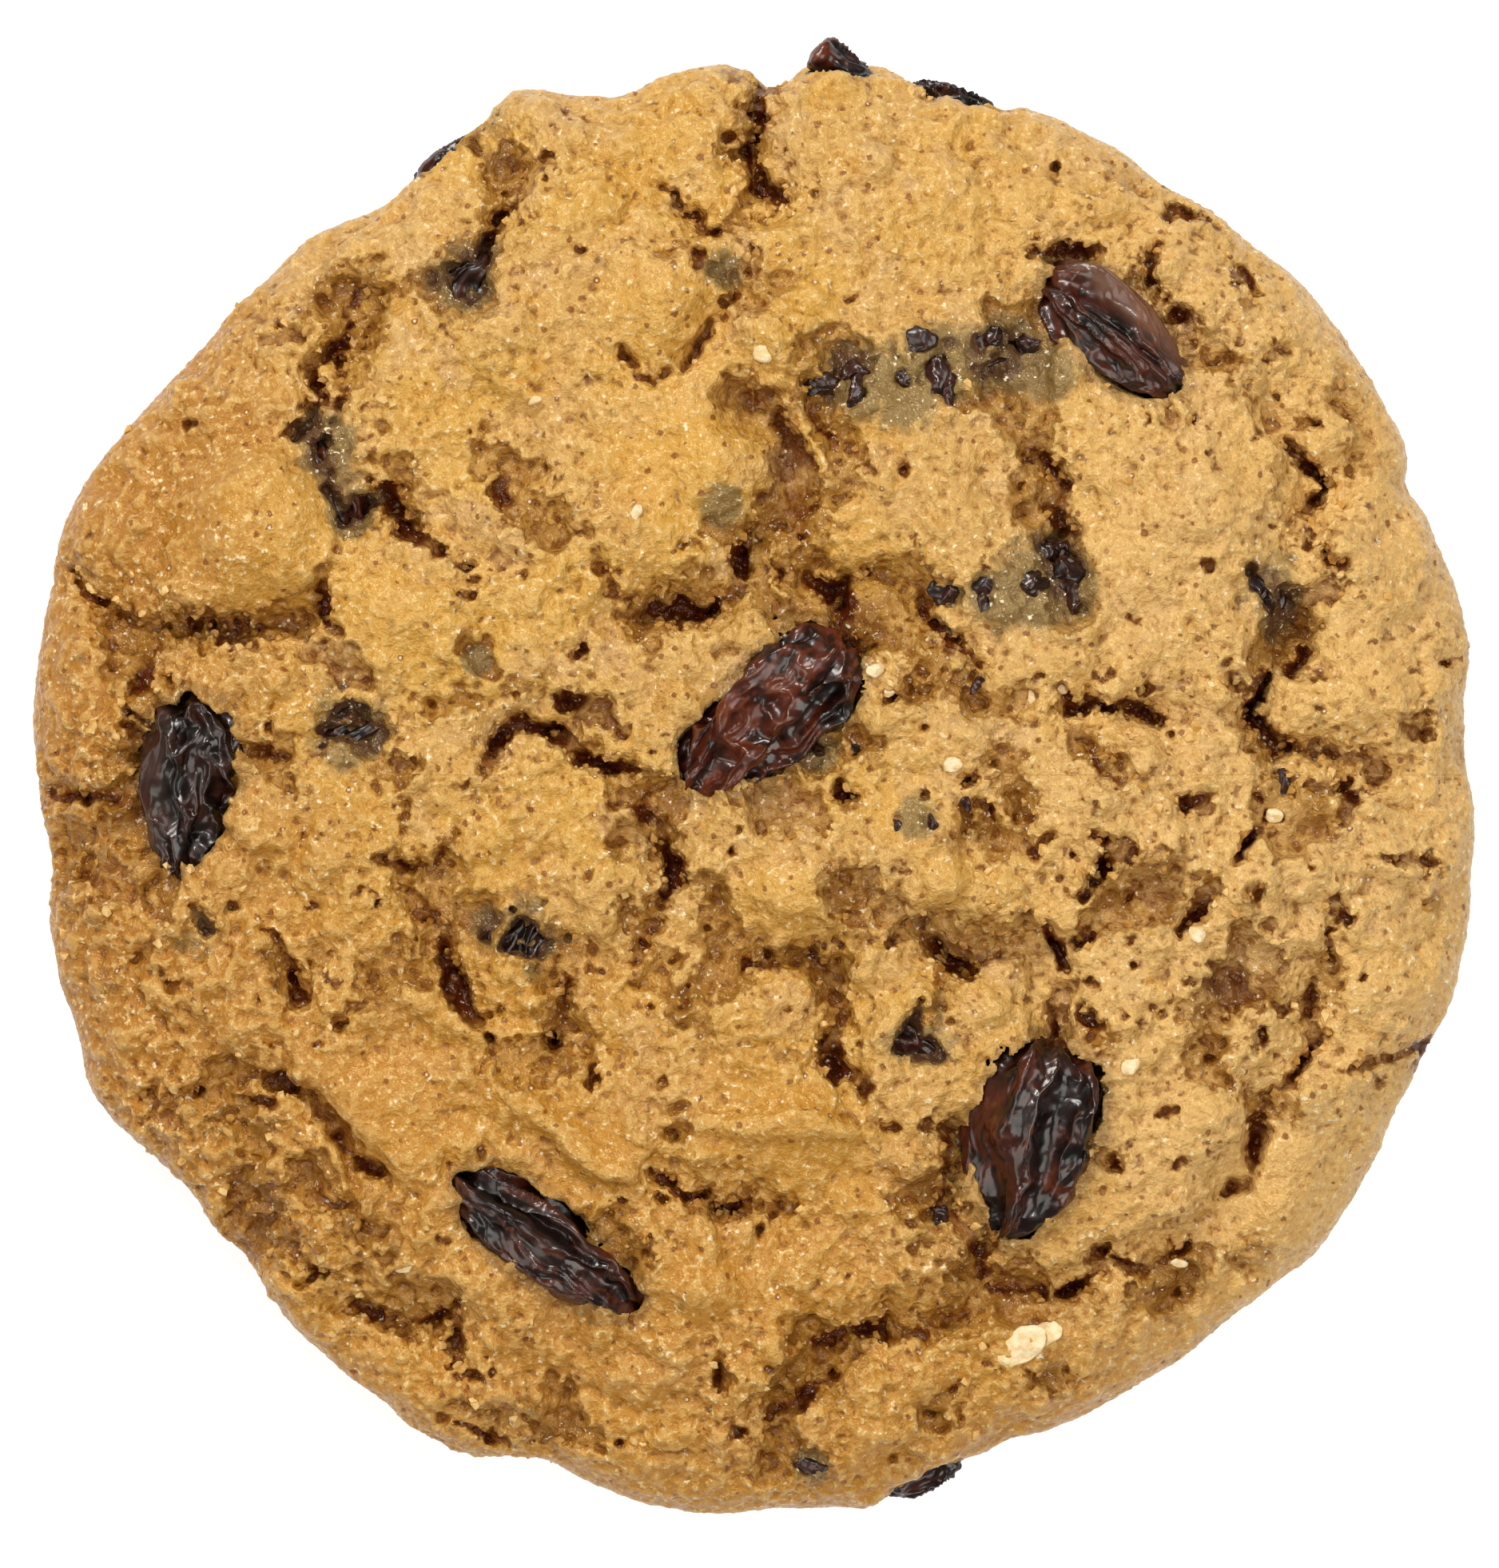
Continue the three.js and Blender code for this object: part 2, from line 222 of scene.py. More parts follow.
def pointNormals(tree):
    return addNode(tree, "GeometryNodeInputNormal").outputs[0]


def store(tree, geometry, name, value):
    inputs = {"Geometry": geometry, "Name": name, "Value": value}
    return addNode(tree, "GeometryNodeStoreNamedAttribute", inputs).outputs[0]


def readMark(tree, name):
    return addNode(tree, "GeometryNodeInputNamedAttribute", {"Name": name}).outputs["Attribute"]


def movePoints(tree, geometry, offset):
    return addNode(tree, "GeometryNodeSetPosition", {"Geometry": geometry, "Offset": offset}).outputs[0]


def meshOf(tree, piece):
    return addNode(tree, "GeometryNodeObjectInfo", {"Object": piece}).outputs["Geometry"]


def applyShape(piece, tree, geometry):
    setSocket(tree, tree.nodes["Group Output"].inputs[0], geometry)
    applyModifier(piece, "NODES", node_group=tree)


def nearSpots(tree, at, spots, core=0.4):
    # 1 in the middle of any of the spots (x, y, reach in mm, and a height), 0 outside them all
    flatAt = flatten(tree, at)
    shares = []
    for x, y, reach, *height in spots:
        far = vectorCalc(tree, "DISTANCE", flatAt, tuple(place(x, y)))
        shares.append(ramp(tree, far, reach * mm, reach * core * mm, 0, height[0] if height else 1))
    return highest(tree, *shares)


# Finishes

def newMaterial(name):
    material = bpy.data.materials.new(name)
    material.use_nodes = True
    tree = material.node_tree
    shader = tree.nodes["Principled BSDF"]
    return material, tree, shader


def mixColour(tree, share, a, b):
    node = addNode(tree, "ShaderNodeMix", data_type="RGBA")
    setSocket(tree, node.inputs[0], share)
    setSocket(tree, node.inputs[6], a)
    setSocket(tree, node.inputs[7], b)
    return node.outputs[2]


def srgb(red, green, blue):
    # a colour given in 0 to 255 as it shows, in the linear values that a shader takes
    return tuple(((v / 255 + 0.055) / 1.055) ** 2.4 for v in (red, green, blue)) + (1,)


def paint(tree, colour, *layers):
    # each layer is how much of it shows, and its colour
    for share, tint in layers:
        colour = mixColour(tree, share, colour, srgb(*tint))
    return colour


def mottled(tree, at, size, detail, first, second):
    # two colours in patches
    patch = ramp(tree, noise(tree, at, size, detail), 0.35, 0.65)
    return mixColour(tree, patch, srgb(*first), srgb(*second))


def attribute(tree, name):
    return addNode(tree, "ShaderNodeAttribute", attribute_name=name).outputs["Fac"]


def markRamp(tree, name, low, high, fromZero=0.0, toOne=1.0):
    return ramp(tree, attribute(tree, name), low, high, fromZero, toOne)


def fineBump(tree, shader, height, far, strength=1.0):
    # relief too fine for the mesh
    bump = addNode(tree, "ShaderNodeBump", {"Height": height, "Strength": strength, "Distance": far})
    setSocket(tree, shader.inputs["Normal"], bump.outputs[0])


def objectPlace(tree):
    return addNode(tree, "ShaderNodeTexCoord").outputs["Object"]


# The dough

doughMake = {
    "firstVoxel": 0.5 * mm,
    "voxel": 0.21 * mm,
    "lastVoxel": 0.185 * mm,
    "smoothing": 14,
    "triangles": 196000,
    "blockSize": 60 * mm,
    "seam": 0.5 * mm,
    "seamLap": 0.01 * mm,
    "wander": 0.8 * mm,
    "tearSize": 6.5 * mm,
    "tearReach": 5 * mm,
    "tearDeep": 0.7 * mm,
    "tearShare": 0.46,
    "chipSize": 2.1 * mm,
    "chipDeep": 1.0 * mm,
    "chipShare": 0.352,
    "lump": 0.8 * mm,
    "lap": 0.5 * mm,
    "filmThick": 1.1 * mm,
    "filmUnder": 0.45 * mm,
    "filmRing": 0.6,  # mm beyond a pit, where the level of the dough around it is taken
    "filmSpare": 0.8,  # mm that a film reaches beyond its pit
    "base": 0.02 * mm,  # height of the flat underside
}

# Torn cracks between the crags, by kind: deep and half the width in mm, and their routes in plan
gaps = {"deep": 2.5, "half": 0.55, "routes": [
    [(1.3, 42), (0.7, 39), (0.6, 37.5), (-0.3, 36.4), (0.7, 34.7), (2.1, 33)],
    [(-3.1, 30.1), (-2, 28.7), (-1.4, 27.4), (-0.1, 28.6), (-0.1, 30.1)],
    [(-15.3, 1), (-13.3, 3.3), (-10.5, 2.6), (-7.7, 0.3), (-5.9, -0.4)],
    [(-11, 5), (-10, 3.9), (-8.4, 3.3), (-6.9, 2.2)],
    [(-6.7, -1.3), (-5.1, -3.7), (-4.1, -5.7), (-5.9, -8.6), (-6.7, -10.6)],
    [(30, 5.8), (28.5, 3.5), (31, 1.6), (33.6, 1.5), (36.8, -0.2)],
    [(10.6, -9.9), (11.6, -10.6), (12.9, -11.2)],
    [(17.4, -8.6), (17.6, -9.4), (18.1, -10.6)],
    [(24.8, -9), (25.7, -8.3), (26.7, -6.3)],
    [(-16.3, 29.4), (-16.6, 27.6)],
    [(0.4, 14.2), (-1.8, 9.9), (-7.9, 9.4)],
]}
valleys = {"deep": 1.4, "half": 1.2, "routes": [
    [(-0.8, 22.3), (1.5, 19.8), (2.4, 17.3), (0.4, 14.2)],
    [(0.6, 14.5), (1.7, 14.8), (3.5, 15.9)],
    [(-35.9, 8.9), (-31.7, 8.2), (-28, 9)],
    [(-39, -5), (-36.2, -5.8)],
    [(25.7, -13.4), (27.7, -12), (29.9, -12.4)],
]}
clefts = {"deep": 2.4, "half": 0.42, "routes": [
    [(-14.7, 37), (-13.8, 34.7), (-14.3, 32.9), (-15, 30.7), (-16.3, 27)],
    [(-22.5, 28.3), (-23.1, 24.8), (-25.1, 23.8), (-24.9, 21.8), (-26.2, 19.6)],
    [(-24.3, 16.5), (-23.3, 14.8), (-20.7, 16.5), (-20, 14.7), (-18.5, 13.5), (-15.5, 12.2)],
    [(-24.6, 11.7), (-24.8, 10.2), (-24.1, 7.2)],
    [(-8.9, 12.6), (-7.9, 11.1), (-6.7, 10.6)],
    [(-9.6, 8.2), (-9.6, 6.4)],
    [(0.6, 11.9), (4.7, 11.1), (6, 11.5), (5.5, 9.6), (6.5, 6.6)],
    [(16.1, 18.7), (17.8, 16.9), (17.4, 15.5), (18.2, 14.2), (17.1, 13.2)],
    [(8.5, 11.7), (9.5, 11.1), (10.2, 8.9), (11.1, 7.8), (13.5, 6.4)],
    [(17.4, 5.3), (18.9, 3.7), (21.1, 4.5), (24.7, 3.6)],
    [(15.9, 30.7), (19.9, 29.8)],
    [(23.5, 30.4), (23.2, 28.7), (24.7, 27.2), (26, 24.3)],
    [(31.3, 19.1), (33.5, 17.2), (32.3, 15.7), (31.5, 14.2)],
    [(33.8, 11.5), (31.1, 10), (32.2, 8.2), (31.5, 5.9)],
    [(32.2, -0.5), (34.1, 0), (34.5, -1.4), (33.8, -2.7)],
    [(33.8, -7.3), (34.3, -8.3), (33.6, -9.4), (34.1, -11.1)],
    [(32.8, -12.3), (32.3, -16.4), (29.3, -19.2), (29.3, -22.5), (27.7, -24.5)],
    [(25.4, -27.2), (23.4, -28.3), (20.7, -27.7), (18.7, -29.5), (14.3, -29.3)],
    [(14.3, -29.3), (12.5, -27), (11, -24.5), (11.8, -22.9), (11.3, -20.2)],
    [(17.1, -12.9), (17.4, -14.8), (17.9, -15.6)],
    [(0, -10.5), (3.9, -10.9), (5, -13.9), (4.7, -16.4), (6.9, -18.4)],
    [(-10.3, -11.4), (-11.4, -15.2), (-11, -17.2)],
    [(-21.6, -4.5), (-20, -5), (-18.5, -5.2), (-17.3, -4.2)],
    [(-20.5, -6), (-17.8, -8.8), (-17.8, -10.6), (-15.2, -14.8), (-14.5, -16.4)],
    [(-39, 11.5), (-35.9, 8.9), (-31.7, 8.2), (-28, 9), (-24.8, 9.4)],
    [(-27.7, -9), (-26.6, -10.6), (-25.4, -13.3)],
    [(-28.3, -17.2), (-25.3, -18.4), (-23.4, -21.9), (-20.5, -23.8)],
    [(-22.8, -30.8), (-20, -32.6), (-16.8, -30.8), (-17.3, -34.2)],
    [(-5.4, -22.7), (-3.4, -24), (-1.8, -24.7), (2.5, -25)],
    [(1.1, -37.4), (4.5, -35.1), (4, -33.1), (8.7, -31.7), (13.1, -31.1)],
    [(35.3, -17), (37, -16.2), (39.3, -15.6), (38.4, -17.7)],
    [(20, -3.8), (21.4, -4.6), (20.4, -5.7), (18.6, -7.2)],
    [(24.8, -1.4), (25.4, -2.4), (26.5, -1.4)],
    [(29.2, -1.4), (30.1, -2.4), (27.7, -4.8)],
]}
floors = {"deep": 0.95, "half": 1.3, "routes": [
    [(9.3, -8.4), (12.2, -9.4), (15.4, -9.6), (17.2, -9.2)],
    [(0.2, -1.6), (2, -1.9), (3.9, -2)],
    [(4.4, -5.8), (6.5, -6.6), (8.3, -7.7)],
    [(-7.4, -0.6), (-6.3, -1.6)],
    [(0.2, 13), (0.9, 10.6), (2.8, 9.6)],
    [(17.6, -12.6), (18.2, -14.6)],
    [(22.4, -5.6), (24.2, -7.6)],
    [(28.4, -9.4), (29.6, -12.2)],
    [(-24.6, 7.2), (-22.6, 5.6)],
    [(-29.4, -24.6), (-26.4, -27.4)],
    [(8.6, -30.6), (10.8, -32.2)],
]}
splits = {"deep": 1.7, "half": 0.3, "routes": [
    [(-5.1, 33.9), (-3.8, 32.6), (-2.6, 31.7), (-0.1, 31.6)],
    [(-7.4, 24.3), (-5.7, 23), (-4.2, 23), (-3.3, 24.1), (-1.8, 25.8), (-1.3, 26.6)],
    [(3.2, 22.6), (3.9, 20), (6.2, 18.2), (7.3, 17.5)],
    [(-14.4, 17.3), (-14, 14.8)],
    [(-12, 36.4), (-11.7, 35.4)],
    [(24.2, 33.1), (25.7, 32.6), (27, 32.1)],
    [(28.7, 29.4), (29.2, 27.9)],
    [(23.4, 20.6), (24.4, 19.8)],
    [(33.8, 13.5), (33.3, 12.4), (34.5, 12.6)],
    [(37.6, 3.1), (39.3, 2.3)],
    [(40.4, 7.6), (40.6, 6.6)],
    [(27.2, 6.4), (27.4, 5.3)],
    [(19.3, 2), (20.4, 0.3), (23, -0.3)],
    [(15.6, -3.8), (16.4, -4.8), (17.4, -3.8)],
    [(36.8, -4.8), (39.3, -5.2)],
    [(28.3, -6.8), (29.7, -7.6)],
    [(29.3, -14.2), (30, -15.6)],
    [(-9.6, -15.5), (-8.7, -17.6)],
    [(-28.4, 2.3), (-27.4, 1.3), (-26.4, 1)],
    [(-33.8, 8.1), (-35.5, 4.3), (-36.5, 0.6)],
    [(-40.8, -0.3), (-37.2, -1.8), (-35.2, -2.4)],
    [(-22.3, -12.1), (-23.8, -13.9), (-24.3, -14.9)],
    [(-33.7, -12.1), (-31.9, -11.8)],
    [(-35.2, -18.7), (-33.5, -18.9), (-31.9, -18.1)],
    [(-34.9, -19.4), (-33.4, -20.2), (-32.5, -21)],
    [(-29, -18.4), (-27.9, -18.9), (-27.2, -18.7)],
    [(-24.8, -23.8), (-24.4, -24.5), (-23.1, -25.2), (-22.5, -26.2)],
    [(-26.4, -27.7), (-24.6, -28.5), (-25.9, -29.5)],
    [(-17.8, -37.2), (-15, -38.6), (-13.3, -38.9)],
    [(-7.9, -27), (-5.7, -27.2)],
    [(-1.8, -33.6), (-1.6, -35.5)],
    [(-0.8, -38.1), (0, -38.7)],
    [(0.7, -39.4), (1.7, -40.5)],
]}
holes = {"deep": 1.9, "half": 0.4, "routes": [
    [(-24.8, 22.4), (-24.8, 21.5)],
    [(-26.1, 25.3), (-28.3, 25.2)],
    [(-16.6, 10.6), (-16.6, 10.3)],
    [(-11, 15), (-10.9, 14.9)],
    [(28.3, 25), (28.5, 24.8)],
    [(29.9, 25.3), (31, 25.1)],
    [(30.3, 22), (30.4, 21.8)],
    [(33.1, 20.5), (33.2, 20.3)],
    [(35.3, 21.8), (35.4, 21.7)],
    [(8.1, 4.5), (8.9, 4.3)],
    [(12.5, 0.4), (13.3, 0.2)],
    [(13.2, -1.7), (13.5, -2.4)],
    [(5.7, -0.7), (6.3, -1.6)],
    [(18.7, -10.1), (20.4, -9.3)],
    [(19.3, -13.4), (20.9, -14.1)],
    [(23.7, -13.4), (23.9, -13.6)],
    [(30, -9.4), (30.1, -9.6)],
    [(20.2, -21.7), (21.4, -22.2)],
    [(-20.5, 0.8), (-19.3, 0.4)],
    [(-28.1, -13.2), (-27.9, -13.4)],
    [(-11.4, -37.6), (-11.1, -37.7)],
    [(12.3, -35.4), (12.5, -35.5)],
    [(16.1, -34.6), (16.3, -34.7)],
]}
windows = {"deep": 2.3, "half": 0.42, "routes": [  # where a sunk raisin shows
    [(-23, 4), (-24.6, 2.5), (-21.7, 2.5), (-22.7, 3.7), (-23.1, 2.9)],
    [(-13.2, -8.2), (-14.1, -10), (-11.7, -10), (-12.7, -8.7), (-12.9, -9.6)],
    [(9.7, -13.8), (8.5, -15.7), (10.8, -16), (9.8, -14.5), (9.7, -15.4)],
]}
slits = {"deep": 2.2, "half": 0.3, "routes": [
    [(-23.1, 24.2), (-23.6, 23.2), (-24.1, 20.8), (-24.8, 19), (-24.7, 17.4)],
    [(-25, 22.1), (-25.1, 21.4)],
    [(-23.8, 15.6), (-23.2, 14.4)],
    [(29.3, 12), (30.1, 9.4)],
    [(-32.1, -7.7), (-31.2, -9)],
    [(-1.8, 29.7), (-1.1, 28.3)],
]}

# Places where the dough stayed smooth, rounded and oily: x, y and reach in mm
smoothSpots = [
    (-5.1, 27.1, 5), (-3.7, 19.2, 6), (-28.5, 14.5, 7), (-20.4, 9, 4), (1.6, -6.9, 3.6), (11.2, -6, 2.6),
    (2.5, -20.3, 5), (-9, -21.8, 3.5), (-2.6, -29, 4), (-21.5, -20, 6), (30.8, -23.7, 5), (8.5, -2.5, 2),
]

# Unbroken crust that isn't torn away
wholeSpots = [
    (-4, 36, 5), (4, 36, 5), (-8, 36, 6), (5.5, 36.5, 6), (-10, 31.5, 5), (14, 33, 5), (26, 13.5, 8),
    (20, 25, 4), (-21.5, 9.5, 6), (-37, 14, 5), (-31, 20, 6), (-33, -14, 5), (-22, -18, 5), (4, -27, 6),
    (-6, -35, 5), (36, 6, 5), (37, -10, 4), (20, -27, 4), (26, -24, 4), (8, -12, 3), (-9, 10, 4),
    (12, 17, 4), (-11.1, -1.3, 5), (22, 7, 4), (26, 0, 4), (22, -12, 4), (30, -16, 4),
]

# Rounded knobs: x, y, reach and height in mm
knobs = [
    (-5.1, 27.1, 4.4, 0.9), (-28.4, 14.5, 6, 0.9), (11.2, -6, 2.2, 0.8), (1.6, -6.9, 3.2, 0.8),
    (-2.4, -29.4, 2.8, 1.0), (-21.4, 9, 5, 0.5), (-8.5, -3.2, 4, 0.3), (2.4, 24.4, 3, 0.4),
    (-19.5, -1.5, 3.5, 0.4),
]

# Ridges: height, half width and routes in mm
ridges = {"deep": 0.9, "half": 1.3, "routes": [
    [(-2.8, -19.7), (-0.3, -20.1), (3.9, -20.1), (7.2, -20.7)],
    [(-13.1, -18.8), (-11.1, -20.4), (-9, -22.3), (-6.9, -23)],
    [(1, -8.3), (3.8, -4.8)],
    [(-2.6, -25.8), (-2.3, -28.5)],
    [(-19.8, -12.4), (-15.4, -15), (-12.4, -14.4)],
]}

# Where the dough laps further over a raisin: x, y and reach in mm
lapSpots = [
    (19.8, -22.6, 2.4), (-2.2, 6.8, 2.4), (3.9, 1.6, 2), (-8.4, -27.4, 1.6), (-30.6, 5, 1.5), (18.4, 24, 1.8),
]

# Greyish glossy dough, thin over a raisin
greySpots = [
    (6.6, 22.2, 2.6), (8.9, 22, 3), (10.8, 23.4, 2.6), (15.2, 24.3, 3), (17, 23.2, 2.6), (14.5, 10.1, 2.6),
    (16.4, 10.3, 3), (18.5, 10.6, 2.4), (-1.6, 15.5, 2), (4, 1.4, 1.8), (9.4, -2.4, 1.8), (-15.7, 6.6, 1.4),
    (-16.4, 28.3, 1.9), (-23.8, 19.5, 1.6), (-23, 14.8, 1.8), (-1.6, 29.2, 1.6), (3.5, -39.9, 1.6),
]

crackStep = 0.25 * mm
crackKinds = [gaps, valleys, clefts, floors, splits, holes, windows, slits]


def routePoints(kinds, name):
    # a cloud of points along the routes, each with its own half width and depth, narrower at the ends
    points, halves, depths = [], [], []
    cracks = [(kind, route) for kind in kinds for route in kind["routes"]]
    for crack, plan in cracks:
        route = [place(*point) for point in plan]
        spans = [(b - a).length for a, b in zip(route, route[1:])]
        done = 0.0
        for a, b, span in zip(route, route[1:], spans):
            for i in range(max(1, round(span / crackStep))):
                along = (done + i * crackStep) / sum(spans)
                fade = math.sin(math.pi * min(1, 0.06 + 0.9 * along)) ** 0.5
                points.append(a.lerp(b, min(1, i * crackStep / span)))
                halves.append(crack["half"] * mm * (0.35 + 0.65 * fade))
                depths.append(crack["deep"] * mm * (0.4 + 0.6 * fade))
            done += span
    mesh = bpy.data.meshes.new(name)
    mesh.from_pydata(points, [], [])
    mesh.attributes.new("half", "FLOAT", "POINT").data.foreach_set("value", halves)
    mesh.attributes.new("deep", "FLOAT", "POINT").data.foreach_set("value", depths)
    cloud = bpy.data.objects.new(name, mesh)
    scene.collection.objects.link(cloud)
    return cloud


def nearestValue(tree, cloud, at, name):
    nearest = addNode(tree, "GeometryNodeSampleNearest", {"Geometry": cloud, "Sample Position": at})
    if name == "position":
        field = pointPlaces(tree)
        sample = addNode(tree, "GeometryNodeSampleIndex", data_type="FLOAT_VECTOR")
    else:
        field = readMark(tree, name)
        sample = addNode(tree, "GeometryNodeSampleIndex")
    setSocket(tree, sample.inputs["Geometry"], cloud)
    setSocket(tree, sample.inputs["Value"], field)
    setSocket(tree, sample.inputs["Index"], nearest.outputs[0])
    return sample.outputs[0]


def toRaisin(tree, raisinObject, position):
    inputs = {0: meshOf(tree, raisinObject), "Sample Position": position}
    return addNode(tree, "GeometryNodeProximity", inputs)


def teeth(tree, flatAt):
    # how far the torn edges jut out or in, in mm: rounded crumbs with sharp notches between them
    lobes = calc(tree, "SUBTRACT", billow(tree, flatAt, 1.2 * mm, 2, 0.6), 0.4)
    return total(tree, times(tree, lobes, 0.5), swing(tree, flatAt, 0.5 * mm, 0.1, 2, 0.6))


def innerShare(tree, flatAt):
    # 1 on the cracked top, 0 on the smoother rim
    return ramp(tree, vectorCalc(tree, "LENGTH", flatAt), 42.5 * mm, 39.5 * mm)


def crackEdge(tree, cloud, flatAt, sunkFar):
    # how far a point lies from the edge of the nearest crack in mm, below zero inside, and that crack's depth
    steady = ramp(tree, sunkFar, 0.8 * mm, 3 * mm, 0.4, 1)
    wander = shiver(tree, flatAt, 3.6 * mm, doughMake["wander"], 3, 0.6)
    tornAt = flatten(tree, push(tree, flatAt, wander, steady))
    nearest = nearestValue(tree, cloud, tornAt, "position")
    half = nearestValue(tree, cloud, tornAt, "half")
    deep = nearestValue(tree, cloud, tornAt, "deep")
    wide = ramp(tree, noise(tree, flatAt, 3.2 * mm, 3, 0.6), 0.34, 0.66, 0.3, 1.7, smooth=False)
    nearSunk = ramp(tree, sunkFar, 1.2 * mm, 0.8 * mm)
    wide = highest(tree, wide, nearSunk)
    edge = calc(tree, "SUBTRACT", vectorCalc(tree, "DISTANCE", tornAt, nearest), times(tree, half, wide))
    broken = ramp(tree, noise(tree, flatAt, 3.5 * mm, 2), 0.4, 0.58, 0.45, 1.1)
    broken = highest(tree, broken, nearSunk)
    return times(tree, edge, 1 / mm), times(tree, deep, broken, 1 / mm)


def crustShare(tree, flatAt, edge, calm):
    # under the tear share the upper crust is gone, which is mostly so beside the cracks
    beside = ramp(tree, edge, 0.0, doughMake["tearReach"] / mm, -0.04, 0.12, smooth=False)
    coarse = noise(tree, flatAt, doughMake["tearSize"], 3, 0.55)
    return total(tree, coarse, beside, times(tree, calm, 0.14))


def chipShare(tree, flatAt, edge, calm):
    # under the chip share there is a small torn hole, more of them near the cracks
    beside = ramp(tree, edge, 0.0, 6.0, -0.01, 0.05, smooth=False)
    fine = noise(tree, flatAt, doughMake["chipSize"], 3, 0.65)
    return total(tree, fine, beside, times(tree, calm, 0.1))


def ridgeShare(tree, ridgeObject, flatAt):
    # 1 on the crest of a ridge, 0 beside it, and its height
    cloud = meshOf(tree, ridgeObject)
    at = flatten(tree, vectorCalc(tree, "ADD", flatAt, shiver(tree, flatAt, 3 * mm, 0.3 * mm, 1)))
    far = vectorCalc(tree, "DISTANCE", at, nearestValue(tree, cloud, at, "position"))
    share = ramp(tree, calc(tree, "DIVIDE", far, nearestValue(tree, cloud, at, "half")), 1.0, 0.1)
    return share, times(tree, share, nearestValue(tree, cloud, at, "deep"))


def tornShares(tree, cloudObject, ridgeObject, position, sunkFar, rimFar=0.0):
    # the numbers that say where the dough is cracked, torn, chipped or left smooth
    flatAt = flatten(tree, position)
    cloud = meshOf(tree, cloudObject)
    onRidge, ridgeHigh = ridgeShare(tree, ridgeObject, flatAt)
    calm = highest(tree, nearSpots(tree, position, smoothSpots), times(tree, onRidge, 0.7))
    rightSide = ramp(tree, axis(tree, position, "X"), 6 * mm, 30 * mm, 0, 0.2)
    whole = highest(tree, calm, nearSpots(tree, position, wholeSpots), rightSide)
    edge, deep = crackEdge(tree, cloud, flatAt, sunkFar)
    jut = teeth(tree, flatAt)
    edge = total(tree, edge, jut, rimFar)
    return {
        "edge": edge,
        "deep": deep,
        "crust": total(tree, crustShare(tree, flatAt, edge, whole), times(tree, jut, 0.12)),
        "chipped": total(tree, chipShare(tree, flatAt, edge, calm), times(tree, jut, 0.2)),
        "calm": calm,
        "inner": innerShare(tree, flatAt),
        "jut": jut,
        "ridgeHigh": ridgeHigh,
    }


def tornMasks(tree, shares):
    make = doughMake
    crust, chipped, inner = shares["crust"], shares["chipped"], shares["inner"]
    edge, deep = shares["edge"], shares["deep"]
    share, chipLimit = make["tearShare"], make["chipShare"]
    torn = times(tree, ramp(tree, crust, share + 0.003, share - 0.006), inner)
    return {
        "torn": torn,
        # deeper, chipDark, crack and sunk: the material paints these browner, as the wetter dough inside is,
        # and darker with depth as painted shade
        "deeper": times(tree, ramp(tree, crust, share - 0.058, share - 0.066), inner),
        # under: where the material paints the shadow just below the torn crust's edge
        "under": times(tree, torn, ramp(tree, crust, share - 0.022, share - 0.006)),
        "chip": times(tree, ramp(tree, chipped, chipLimit, chipLimit - 0.012), inner),
        "chipDark": times(tree, ramp(tree, chipped, chipLimit - 0.008, chipLimit - 0.03), inner),
        "crack": times(tree, ramp(tree, edge, 0.0, -0.1), ramp(tree, deep, 0.5, 1.8, 0.3, 0.9)),
        "sunk": times(tree, ramp(tree, edge, -0.08, -0.3), ramp(tree, deep, 0.9, 2.0)),
    }


